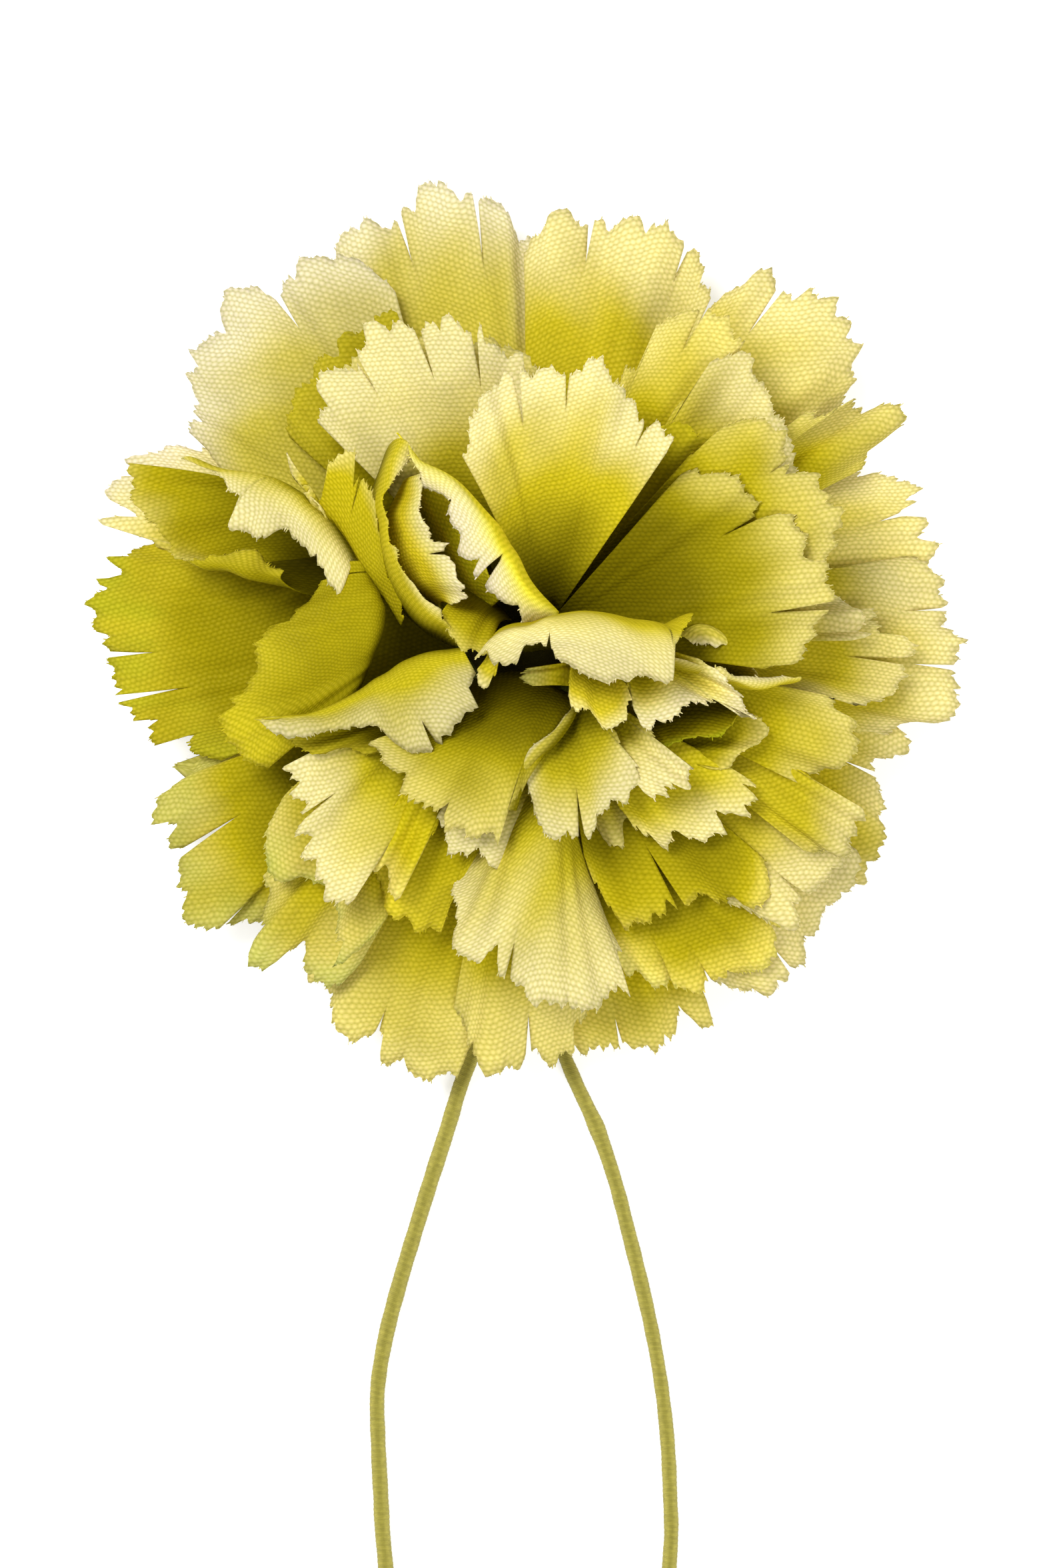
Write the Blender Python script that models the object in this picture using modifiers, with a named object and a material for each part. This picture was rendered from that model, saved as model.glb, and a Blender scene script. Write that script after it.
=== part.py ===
"""Fabric carnation boutonniere lying on its back, with a loop of covered cord.

Metres, +Z up. The origin is the centre of the backing disc's underside, which lies on the surface.
The flower opens upwards and the cord loop leaves it towards -Y.
"""

import math
from collections import namedtuple

import bmesh
import bpy
from mathutils import Matrix, Vector
from mathutils.bvhtree import BVHTree

MM = 0.001

# Driving dimensions, in millimetres.
BACKING_RADIUS = 13.0
BACKING_THICKNESS = 1.5
GLUE_RADIUS = 9.0
GLUE_BOTTOM = 1.8
GLUE_TOP = 3.6
CALYX_RADIUS = 7.0
CALYX_TOP = 4.1
CLEARANCE = 0.3
CLOTH_THICKNESS = 0.25
CORD_DIAMETER = 1.25
CORD_STEP = 2.6
CORD_END_DEPTH = 5.0

# The core's outline: (height, radius), from its foot to its top.
CORE_FOOT = 4.4
CORE_PROFILE = ((CORE_FOOT, 4.6), (7.0, 3.6), (10.0, 2.6), (12.6, 1.5), (13.4, 0.7))

# A petal is a fan of rays from its foot. Angles are in degrees.
#   foot      where the rays meet, inside the core
#   az, el    heading and rise of its middle ray
#   length    of the middle ray, along the cloth
#   half      half of the fan's opening, in the flat cloth
#   twist     turn about the middle ray; positive lifts the left side, seen from the foot
#   cup       how sharply the fan bends across its width: right side, middle, left side; positive is hollow above
#   curl      how far the tip bends down; negative bends it up
Petal = namedtuple("Petal", "name foot az el length half twist cup curl")
SIDE_SHORTENING = 0.10
CURL_POWER = 2.0

LOW, MID = 4.6, 6.0


def whorl_foot(az, radius, height):
    return (radius * math.cos(math.radians(az)), radius * math.sin(math.radians(az)), height)


def outer(number, az, reach, half, upper, twist=0.0, cup=(0.6, 0.4, 0.6), curl=None, el=None):
    """A petal of the outermost whorl, whose petals lie in two levels by turns."""
    rise = el if el is not None else (11.0 if upper else 5.0)
    bend = curl if curl is not None else (18.0 if upper else 13.0)
    foot = whorl_foot(az, 2.0, MID if upper else LOW)
    return Petal(f"outer_petal_{number:02d}", foot, az, rise, reach - 2.0, half, twist, cup, bend)


PETALS = [
    outer(1, 101, 34.6, 17, False),
    outer(2, 76, 32.6, 17, True),
    outer(3, 48, 33.4, 16, False),
    outer(4, 29, 33.2, 8, True, twist=-25, cup=(2.0, 2.0, 2.0)),
    outer(5, 13, 32.4, 16, False),
    outer(6, -7, 34.0, 15, True),
    outer(7, -27, 31.2, 16, False),
    outer(8, -49, 32.2, 15, True),
    outer(9, -71, 32.8, 17, False),
    outer(10, -93, 33.4, 14, True),
    outer(11, -109, 34.8, 17, False),
    outer(12, -128, 32.6, 12, True),
    outer(13, -148, 32.0, 18, False),
    outer(14, -178, 34.2, 18, True),
    outer(15, 161, 34.2, 15, False),
    outer(16, 134, 33.6, 19, True),
    Petal("middle_petal_01", (-1.0, 1.5, 8.8), 106, 30, 25.0, 17, 0, (0.5, 0.5, 0.5), 30),
    Petal("middle_petal_02", (-1.2, 1.2, 8.0), 131, 24, 23.5, 9, 0, (0.5, 0.5, 0.5), 24),
    Petal("middle_petal_03", (-1.0, 1.4, 7.6), 122, 20, 26.5, 12, 0, (0.5, 0.5, 0.5), 24),
    Petal("middle_petal_04", (0.9, 1.2, 8.4), 56, 28, 28.0, 13, 0, (0.5, 0.5, 0.5), 28),
    Petal("middle_petal_05", (1.2, 0.8, 8.6), 31, 26, 25.5, 18, 0, (0.5, 0.5, 0.5), 28),
    Petal("middle_petal_06", (1.0, 0.8, 10.0), 17, 36, 23.5, 26, 0, (0.6, 0.6, 0.6), 38),
    Petal("middle_petal_07", (1.5, -0.1, 8.0), -6, 20, 25.5, 9, 0, (0.5, 0.5, 0.5), 24),
    Petal("middle_petal_08", (1.5, -0.1, 7.0), -4, 14, 30.0, 9, 0, (0.5, 0.5, 0.5), 18),
    Petal("middle_petal_09", (1.4, -0.6, 8.4), -22, 26, 27.5, 14, 0, (0.5, 0.5, 0.5), 28),
    Petal("middle_petal_10", (1.1, -1.0, 7.8), -43, 20, 29.0, 11, 0, (0.5, 0.5, 0.5), 24),
    Petal("middle_petal_11", (0.7, -1.4, 8.2), -63, 24, 24.0, 14, 0, (0.5, 0.5, 0.5), 26),
    Petal("middle_petal_12", (0.7, -1.4, 7.0), -66, 12, 29.5, 15, 0, (0.5, 0.5, 0.5), 18),
    Petal("middle_petal_13", (0.0, -1.5, 8.8), -89, 28, 29.3, 15, 0, (-2.0, -2.0, -2.0), 30),
    Petal("middle_petal_14", (-1.0, -1.0, 8.8), -135, 30, 23.5, 19, 0, (0.5, 0.5, 0.5), 30),
    Petal("middle_petal_15", (-0.6, -1.4, 8.0), -112, 22, 23.5, 11, 0, (0.5, 0.5, 0.5), 24),
    Petal("middle_petal_16", (-1.1, -1.0, 7.4), -140, 16, 25.5, 7, 0, (0.5, 0.5, 0.5), 20),
    Petal("inner_petal_01", (0.6, 0.8, 11.0), 81, 47, 24.5, 24, 0, (0.4, 0.4, 0.4), 36),
    Petal("inner_petal_02", (0.8, 0.9, 10.0), 70, 38, 24.5, 8, 0, (0.4, 0.4, 0.4), 30),
    Petal("inner_petal_03", (-1.5, 0.0, 10.0), 176, 62, 25.0, 25, 0, (0.5, 0.5, 0.5), 62),
    Petal("inner_petal_04", (-1.0, -1.2, 11.0), -150, 42, 20.0, 24, -35, (-0.5, -1.5, -1.5), 30),
    Petal("inner_petal_05", (0.0, -1.2, 10.5), -118, 42, 19.0, 25, 0, (0.3, 0.3, 2.5), 34),
    Petal("inner_petal_06", (-0.2, -1.4, 9.5), -97, 30, 19.0, 12, 0, (0.3, 0.3, 0.3), 30),
    Petal("inner_petal_07", (0.8, -1.0, 10.0), -68, 34, 17.0, 20, 0, (0.3, 0.3, 0.3), 34),
    Petal("inner_petal_08", (0.9, -0.9, 10.5), -43, 40, 18.5, 8, 0, (0.3, 0.3, 0.3), 36),
    Petal("inner_petal_09", (1.1, -1.0, 9.2), -45, 26, 22.0, 14, 0, (0.3, 0.3, 0.3), 28),
    Petal("inner_petal_10", (0.6, -0.8, 11.0), -50, 66, 14.0, 22, 0, (0.3, 0.3, 0.3), 60),
    Petal("inner_petal_11", (0.9, -0.4, 11.0), -22, 56, 18.5, 20, 0, (-0.8, -0.8, -0.8), 60),
    Petal("inner_petal_12", (1.2, -0.5, 9.6), -26, 34, 21.0, 15, 0, (2.0, 1.5, 2.0), 20),
    Petal("inner_petal_13", (1.2, 0.0, 10.2), -8, 44, 23.0, 4, 70, (0.3, 0.3, 0.3), 40),
    Petal("inner_petal_14", (-1.4, 0.8, 9.6), 152, 34, 26.0, 16, -40, (-1.8, -1.8, -1.8), 28),
    Petal("inner_petal_15", (-1.5, 0.6, 8.6), 164, 19, 31.0, 14, 0, (1.8, 1.2, 1.8), 10),
    Petal("heart_petal_01", (0.5, 0.8, 11.8), 119, 64, 17.0, 22, -90, (0.4, 0.4, 0.4), -60),
    Petal("heart_petal_02", (-0.8, 0.0, 12.0), 165, 62, 14.5, 16, -80, (0.2, 0.2, 0.2), -40),
    Petal("heart_petal_03", (-1.2, 0.8, 10.6), 137, 45, 23.0, 5, -70, (0.2, 0.2, 0.2), 20),
    Petal("heart_petal_04", (-0.9, -0.3, 11.2), 150, 48, 20.0, 9, -60, (-0.5, -0.5, -0.5), 10),
    Petal("heart_petal_05", (0.6, 0.1, 11.8), 13, 64, 15.5, 17, 90, (0.4, 0.4, 0.4), -50),
    Petal("heart_petal_06", (0.3, -0.5, 11.8), -80, 68, 9.5, 24, 0, (0.3, 0.3, 0.3), 20),
    Petal("heart_petal_07", (-0.6, -0.6, 11.8), -140, 66, 10.0, 9, 0, (0.3, 0.3, 0.3), 30),
]

# The cord's middle line, from one end to the other: (x, y, height of its middle).
CORD_ROUTE = (
    (-1.1, -9.6, 2.7), (-1.1, -12.0, 2.7), (-1.1, -15.0, 2.6), (-1.1, -18.0, 2.0), (-1.1, -21.5, 1.2),
    (-1.4, -25.0, 0.75), (-2.4, -28.6, 0.65), (-3.7, -31.9, 0.65), (-5.1, -35.5, 0.65),
    (-6.2, -39.1, 0.65), (-7.55, -43.3, 0.65), (-8.85, -47.5, 0.65), (-10.1, -51.7, 0.65),
    (-11.15, -55.8, 0.65), (-11.8, -60.0, 0.65), (-11.75, -64.2, 0.65), (-11.55, -68.3, 0.65),
    (-11.3, -72.5, 0.65), (-10.5, -78.2, 0.65), (-8.1, -83.2, 0.65), (-4.4, -86.9, 0.65),
    (0.2, -88.2, 0.65), (4.9, -87.1, 0.65), (8.6, -83.7, 0.65), (10.9, -79.0, 0.65),
    (11.65, -72.5, 0.65), (11.6, -68.3, 0.65), (11.4, -64.2, 0.65), (10.95, -60.0, 0.65),
    (10.25, -55.8, 0.65), (9.35, -51.7, 0.65), (8.3, -47.5, 0.65), (7.2, -43.3, 0.65),
    (5.8, -39.2, 0.65), (4.1, -35.5, 0.65), (2.9, -32.6, 0.65), (1.9, -29.5, 0.65),
    (1.3, -25.5, 0.75), (1.1, -21.5, 1.2), (1.1, -18.0, 2.0), (1.1, -15.0, 2.6), (1.1, -12.0, 2.7),
    (1.1, -9.6, 2.7),
)

# Colours and finishes: (red, green, blue) as linear values, then roughness.
CLOTH_OUTER = ((0.68, 0.60, 0.20), 0.60)
CLOTH_MIDDLE = ((0.62, 0.54, 0.10), 0.60)
CLOTH_INNER = ((0.55, 0.47, 0.04), 0.60)
FELT = ((0.23, 0.24, 0.05), 0.95)
GLUE = ((0.72, 0.68, 0.52), 0.45)
CALYX = ((0.16, 0.20, 0.04), 0.70)
CORD_YARN = ((0.34, 0.33, 0.09), 0.85)

PETAL_COLUMNS = 6
PETAL_ROWS = 5
SUBSTEPS = 4
ROUND_SIDES = 32
SETTLING_STEPS = 12
SETTLING_RISE = 1.5
SETTLING_TURN = 1.5
SETTLING_LIFT = 0.1


def clear_scene():
    for old in list(bpy.data.objects):
        bpy.data.objects.remove(old, do_unlink=True)


def make_material(name, look):
    colour, roughness = look
    material = bpy.data.materials.new(name)
    material.use_nodes = True
    shader = material.node_tree.nodes["Principled BSDF"]
    shader.inputs["Base Color"].default_value = (*colour, 1.0)
    shader.inputs["Roughness"].default_value = roughness
    shader.inputs["Metallic"].default_value = 0.0
    return material


def cross_section(petal, samples):
    """Unit ray and surface normal at evenly spaced angles across the fan, from right to left.

    The ray turns at a constant rate while the cloth between two rays tips by the petal's cup,
    so the surface is a cone that unrolls to a flat fan.
    """
    az, el, twist = (math.radians(angle) for angle in (petal.az, petal.el, petal.twist))
    middle_ray = Vector((math.cos(az) * math.cos(el), math.sin(az) * math.cos(el), math.sin(el)))
    left_side = Matrix.Rotation(twist, 3, middle_ray) @ Vector((-math.sin(az), math.cos(az), 0.0))
    step = math.radians(petal.half) / (samples * SUBSTEPS)
    right_cup, middle_cup, left_cup = petal.cup
    sections = {0: (middle_ray, middle_ray.cross(left_side))}
    for direction, edge_cup in ((1, left_cup), (-1, right_cup)):
        ray, across, normal = middle_ray, left_side * direction, middle_ray.cross(left_side)
        for k in range(samples * SUBSTEPS):
            ray, across = turned(ray, across, step)
            tip = step * (middle_cup + (edge_cup - middle_cup) * (k + 0.5) / (samples * SUBSTEPS))
            across, normal = turned(across, normal, tip)
            if (k + 1) % SUBSTEPS == 0:
                sections[direction * (k + 1) // SUBSTEPS] = (ray, normal)
    return [sections[i] for i in range(-samples, samples + 1)]


def turned(first, second, angle):
    """Two perpendicular unit vectors turned in their own plane, the first towards the second."""
    c, s = math.cos(angle), math.sin(angle)
    return first * c + second * s, second * c - first * s


def petal_surface(petal, start):
    """Rows of points across the petal, from its start near the foot to its tip edge."""
    samples = PETAL_COLUMNS // 2
    columns = []
    for i, (ray, normal) in enumerate(cross_section(petal, samples)):
        offside = (i - samples) / samples
        end = petal.length * (1.0 - SIDE_SHORTENING * offside * offside)
        step = (end - start) / (PETAL_ROWS * SUBSTEPS)
        point = Vector(petal.foot) + ray * start
        column = [point]
        for j in range(PETAL_ROWS * SUBSTEPS):
            bend = math.radians(petal.curl) * ((start + step * (j + 0.5)) / petal.length) ** CURL_POWER
            point = point + turned(ray, -normal, bend)[0] * step
            if (j + 1) % SUBSTEPS == 0:
                column.append(point)
        columns.append(column)
    return [[column[j] for column in columns] for j in range(PETAL_ROWS + 1)]


def core_radius(height):
    """The core's radius at a height, and nothing above or below it."""
    for (low, low_radius), (high, high_radius) in zip(CORE_PROFILE, CORE_PROFILE[1:]):
        if low <= height <= high:
            return low_radius + (high_radius - low_radius) * (height - low) / (high - low)
    return 0.0


def petal_start(petal):
    """The distance from the foot at which the whole width of the petal is clear of the core."""
    start = 1.5
    while start < petal.length * 0.5:
        row = petal_surface(petal, start)[0]
        if all(math.hypot(p.x, p.y) > core_radius(p.z) + CLEARANCE + CLOTH_THICKNESS for p in row):
            return start
        start += 0.2
    return start


def shell_tree(rows, thickness):
    """A search tree of a sheet's two faces and rim, for finding where it would touch others."""
    count, width = len(rows), len(rows[0])
    faces_up, faces_down = [], []
    for j in range(count):
        for i in range(width):
            along = rows[min(j + 1, count - 1)][i] - rows[max(j - 1, 0)][i]
            across = rows[j][min(i + 1, width - 1)] - rows[j][max(i - 1, 0)]
            normal = along.cross(across).normalized() * (thickness / 2)
            faces_up.append(rows[j][i] + normal)
            faces_down.append(rows[j][i] - normal)
    quads = [(j * width + i, j * width + i + 1, (j + 1) * width + i + 1, (j + 1) * width + i)
             for j in range(count - 1) for i in range(width - 1)]
    size = count * width
    rim = ([j * width for j in range(count)] + [(count - 1) * width + i for i in range(1, width)]
           + [j * width + width - 1 for j in range(count - 2, -1, -1)] + list(range(width - 2, 0, -1)))
    sides = [(a, b, b + size, a + size) for a, b in zip(rim, rim[1:] + rim[:1])]
    polygons = quads + [tuple(v + size for v in quad) for quad in quads] + sides
    return BVHTree.FromPolygons(faces_up + faces_down, polygons)


def settled(petal, laid):
    """The petal moved as little as it can be, in rise and heading, to clear all those laid."""
    moves = sorted(((rise, heading) for rise in range(-SETTLING_STEPS, SETTLING_STEPS + 1)
                    for heading in range(-SETTLING_STEPS, SETTLING_STEPS + 1)),
                   key=lambda move: (move[0] ** 2 + move[1] ** 2, -move[0], move[1]))
    for rise, heading in moves:
        x, y, z = petal.foot
        trial = petal._replace(az=petal.az + SETTLING_TURN * heading, el=petal.el + SETTLING_RISE * rise,
                               foot=(x, y, z + SETTLING_LIFT * rise))
        rows = petal_surface(trial, petal_start(trial))
        tree = shell_tree(rows, CLOTH_THICKNESS + 2 * CLEARANCE)
        if not any(tree.overlap(other) for other in laid):
            return rows
    raise ValueError(petal.name + " has no clear place")


def link(obj, collection, material):
    collection.objects.link(obj)
    obj.data.materials.append(material)
    return obj


def make_petal(petal, rows, collection, material):
    mesh = bpy.data.meshes.new(petal.name)
    cloth = bmesh.new()
    bmesh.ops.create_grid(cloth, x_segments=PETAL_COLUMNS, y_segments=PETAL_ROWS, size=0.5)
    cloth.verts.ensure_lookup_table()
    for vertex in cloth.verts:
        i = round((vertex.co.x + 0.5) * PETAL_COLUMNS)
        j = round((vertex.co.y + 0.5) * PETAL_ROWS)
        vertex.co = rows[j][i] * MM
    cloth.to_mesh(mesh)
    cloth.free()
    mesh.shade_smooth()
    obj = link(bpy.data.objects.new(petal.name, mesh), collection, material)
    solid = obj.modifiers.new("Cloth thickness", "SOLIDIFY")
    solid.thickness = CLOTH_THICKNESS * MM
    solid.offset = 0.0
    return obj


def make_turned(name, profile, collection, material):
    """A solid of revolution about +Z from (height, radius) pairs, closed at both ends."""
    mesh = bpy.data.meshes.new(name)
    points = [(0.0, 0.0, profile[-1][0])] + [(r, 0.0, z) for z, r in reversed(profile)]
    points.append((0.0, 0.0, profile[0][0]))
    mesh.from_pydata([tuple(c * MM for c in p) for p in points], [(i, i + 1) for i in range(len(points) - 1)], [])
    obj = link(bpy.data.objects.new(name, mesh), collection, material)
    screw = obj.modifiers.new("Turn", "SCREW")
    screw.steps = screw.render_steps = ROUND_SIDES
    screw.use_merge_vertices = True
    screw.merge_threshold = 0.00001
    return obj


def smooth_route(points, step):
    """Evenly spaced points on a smooth curve through the route's points."""
    points = [Vector(p) for p in points]
    dense = []
    padded = [points[0] * 2 - points[1]] + points + [points[-1] * 2 - points[-2]]
    for a, b, c, d in zip(padded, padded[1:], padded[2:], padded[3:]):
        for k in range(20):
            t = k / 20
            dense.append(0.5 * (2 * b + (c - a) * t + (2 * a - 5 * b + 4 * c - d) * t * t
                                + (3 * b - a - 3 * c + d) * t * t * t))
    dense.append(points[-1])
    distances = [0.0]
    for a, b in zip(dense, dense[1:]):
        distances.append(distances[-1] + (b - a).length)
    count = round(distances[-1] / step)
    spaced, k = [], 0
    for i in range(count + 1):
        target = distances[-1] * i / count
        while k < len(dense) - 2 and distances[k + 1] < target:
            k += 1
        spaced.append(dense[k].lerp(dense[k + 1], (target - distances[k]) / (distances[k + 1] - distances[k])))
    return spaced


def make_cord(name, route, collection, material):
    curve = bpy.data.curves.new(name, "CURVE")
    curve.dimensions = "3D"
    curve.bevel_depth = CORD_DIAMETER / 2 * MM
    curve.bevel_resolution = 2
    curve.use_fill_caps = True
    spline = curve.splines.new("POLY")
    points = smooth_route(route, CORD_STEP)
    spline.points.add(len(points) - 1)
    for target, point in zip(spline.points, points):
        target.co = (*(point * MM), 1.0)
    return link(bpy.data.objects.new(name, curve), collection, material)


def petal_material_name(name):
    return name.split("_")[0] + "_cloth"


def main():
    clear_scene()
    collection = bpy.data.collections.new("boutonniere")
    bpy.context.scene.collection.children.link(collection)
    felt, glue = make_material("felt", FELT), make_material("glue", GLUE)
    calyx, yarn = make_material("calyx_cloth", CALYX), make_material("cord_yarn", CORD_YARN)
    cloths = {
        "outer_cloth": make_material("outer_cloth", CLOTH_OUTER),
        "middle_cloth": make_material("middle_cloth", CLOTH_MIDDLE),
        "inner_cloth": make_material("inner_cloth", CLOTH_INNER),
    }
    cloths["heart_cloth"] = cloths["inner_cloth"]

    make_turned("backing_disc", ((0.0, BACKING_RADIUS), (BACKING_THICKNESS, BACKING_RADIUS)), collection, felt)
    make_turned("glue_pad", ((GLUE_BOTTOM, GLUE_RADIUS), (GLUE_TOP, GLUE_RADIUS * 0.9)), collection, glue)
    make_turned("calyx_cup", ((GLUE_TOP + CLEARANCE, CALYX_RADIUS), (CALYX_TOP, CALYX_RADIUS)), collection, calyx)
    make_turned("flower_core", CORE_PROFILE, collection, calyx)
    make_cord("cord_loop", CORD_ROUTE, collection, yarn)

    laid = []
    for petal in PETALS:
        rows = settled(petal, laid)
        laid.append(shell_tree(rows, CLOTH_THICKNESS))
        make_petal(petal, rows, collection, cloths[petal_material_name(petal.name)])


main()
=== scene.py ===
import math
import random
from dataclasses import dataclass

import bpy
import numpy as np
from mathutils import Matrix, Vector


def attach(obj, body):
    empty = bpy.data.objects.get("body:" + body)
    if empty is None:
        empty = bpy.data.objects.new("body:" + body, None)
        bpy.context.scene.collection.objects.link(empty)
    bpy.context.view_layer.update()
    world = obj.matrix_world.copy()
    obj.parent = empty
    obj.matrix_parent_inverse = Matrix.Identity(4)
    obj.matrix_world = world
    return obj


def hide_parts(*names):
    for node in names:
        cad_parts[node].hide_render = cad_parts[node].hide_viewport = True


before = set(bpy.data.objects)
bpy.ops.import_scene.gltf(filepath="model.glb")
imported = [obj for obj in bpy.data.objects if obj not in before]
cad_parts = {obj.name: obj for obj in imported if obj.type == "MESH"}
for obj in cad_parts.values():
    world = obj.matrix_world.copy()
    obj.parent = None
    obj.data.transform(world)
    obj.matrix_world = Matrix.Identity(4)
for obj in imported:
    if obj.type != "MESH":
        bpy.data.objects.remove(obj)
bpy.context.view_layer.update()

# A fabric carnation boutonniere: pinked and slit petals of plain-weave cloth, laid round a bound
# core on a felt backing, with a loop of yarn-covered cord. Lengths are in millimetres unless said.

MM = 0.001
TURN = 2 * math.pi
WHITE = (1.0, 1.0, 1.0, 1.0)
NOISE_SPREAD = (0.3, 0.7)  # nearly all of a noise's values lie between these

# ---------------------------------------------------------------- sizes of the cloth and its cut
CLOTH_THICKNESS = 0.10
FLOAT_SPACING = 0.47
FLOAT_ROW_PITCH = 0.365
FLOAT_ROW_SHARE = 0.7
FLOAT_HOLLOW = -0.88
FLOAT_SHARPNESS = 0.6
DRIFT_SCALE = 0.35
GRAIN_SPREAD = 0.3
PITCH_VARIETY = (0.7, 1.3)
FIRST_PITCH = 0.6
TOOTH_PITCH = 0.85
TOOTH_DEPTH = 0.34
TOOTH_VARIETY = (0.2, 1.7)
TOOTH_LEAN = (0.15, 0.85)
LOBE_WIDTH = 4.4
LOBE_BULGE = 0.35
LOBE_STAND = (0.4, 1.0)
NOTCH_DEPTH = 0.55
NOTCH_VARIETY = (0.3, 1.7)
NOTCH_WIDTH = (0.35, 1.1)
NIBBLE = 0.15
CORNER_ROUNDING = 0.5
SLIT_ROUNDING = 0.4
FRAY_LENGTH = 0.26
FRAY_WIDTH = 0.10
FRAY_SHARE = 0.65
FRAY_ROOT = 0.12
FRAY_STRAY = 0.3
FRAY_TAPER = 0.2
RIPPLE_SCALES = (0.25, 0.45, 0.8, 1.3)
WAVE_GROWTH = 2.2  # the power of the share along the sheet with which its waves grow
COCKLE_HEIGHT = 0.35
PLEAT_PITCH = 4.2
PLEAT_HEIGHT = 0.17
PLEAT_GROWTH = 1.4
PLEAT_WANDER = 1.5
PLEATS_A_WANDER = 2.7
PLEAT_LEAN = 1.2
FOOT_CURVE = 0.3
SLIT_GAP = 0.06
SLIT_SPREAD = 0.05
LIFT_START = 0.12
LIFT_UNSLIT = 0.7  # where the lift would start on a sheet without slits, as a share of its length
NEARLY_STRAIGHT = 1.15  # with a tip no longer than so many feet, a sheet lies flat like a strip
STRAIGHT_RADIUS = 40.0
SMALLEST_CUT = 10.0
LEAST_FILL = 0.301   # less than 0.3 of its width times its length

# ---------------------------------------------------------------- how finely the cloth is made
ARC_POINTS = 13
RAY_POINTS = 13
LENGTH_POINTS = 200
CURVE_STEPS = 16
COLUMNS_PER_MM = 4.5
FEWEST_COLUMNS = 24
ROWS = 22
ROW_EASE = 0.85
SEARCH_STEPS = (241, 118)

# ---------------------------------------------------------------- looks of the cloth
# Each dye bath's colour at the foot, in the middle and at the tip edge. The pale tips are dye; the dark
# feet, and the darker deep and olive baths, are partly dye and partly painted shade of the hollows among
# the petals.
DYES_AND_FOOT_SHADE = {
    "outer": ((0.33, 0.275, 0.001), (0.64, 0.545, 0.012), (0.86, 0.78, 0.35)),
    "pale": ((0.36, 0.305, 0.002), (0.70, 0.61, 0.070), (0.92, 0.86, 0.58)),
    "mid": ((0.21, 0.175, 0.001), (0.57, 0.485, 0.003), (0.80, 0.715, 0.22)),
    "deep": ((0.14, 0.117, 0.001), (0.39, 0.330, 0.001), (0.60, 0.515, 0.02)),
    "olive": ((0.08, 0.066, 0.001), (0.33, 0.280, 0.001), (0.54, 0.470, 0.01)),
    "cream": ((0.20, 0.167, 0.001), (0.64, 0.550, 0.008), (0.87, 0.80, 0.40)),
}
# The foot's painted shade gives way to the middle colour between DYE_FOOT and DYE_MIDDLE.
DYE_FOOT = 0.15
DYE_MIDDLE = 0.62
DYE_PALE = 0.66
DYE_TIP = 1.02
DYE_WANDER = 0.10
BLEACH_AT_TIP = 0.6
GREEN = (0.22, 0.46, 0.005)
GREEN_START = 0.82
GREEN_WANDER = 0.08
PALEST = (0.90, 0.825, 0.62)
# Painted shade in the weave's gaps and painted sheen on its floats, as multipliers of the dye.
WEAVE_GAP_SHADE = (0.726, 0.725, 0.514, 1.0)
WEAVE_FLOAT_SHEEN = (1.066, 1.025, 1.114, 1.0)
WEAVE_HEIGHT = 0.07
WEAVE_BUMP = 0.45
# Painted sheen: a pale highlight added on the floats.
FLOAT_PAINTED_SHEEN = (0.045, 0.040, 0.033, 1.0)
BLOTCH = {"scale": 0.22, "detail": 4.0, "darkest": 0.92, "lightest": 1.07}
SLUB = {"scale": 2.6, "detail": 2.0, "darkest": 0.93, "lightest": 1.06}
CLOTH_ROUGHNESS = (0.70, 0.40)
CLOTH_SPECULAR = 0.08
CLOTH_GLINT = (1.0, 0.90, 0.30, 1.0)
CLOTH_TRANSLUCENCE = 0.30

# ---------------------------------------------------------------- the cord
CORD_RADIUS = 0.625
CORD_WRAP_PITCH = 0.42
CORD_SIDES = 28
CORD_RING_STEP = 0.14
CORD_LENGTH_POINTS = 4000
CORD_HOLLOW_PLACE = 0.25
CORD_HOLLOW_WIDTH = 0.075
CORD_HOLLOW_DEPTH = 0.16
CORD_KINK = (5.8, -39.2)
CORD_KINK_SWELL = 0.16
# The cord's own colour, and a darker one for the painted shade along the hollow of its upper side.
CORD_PALE = (0.37, 0.325, 0.066, 1.0)
CORD_HOLLOW_SHADE = (0.245, 0.215, 0.033, 1.0)
CORD_FUZZ_SCALE = 2500.0  # this and the next are in waves a metre
CORD_PATCH_SCALE = 260.0
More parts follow.
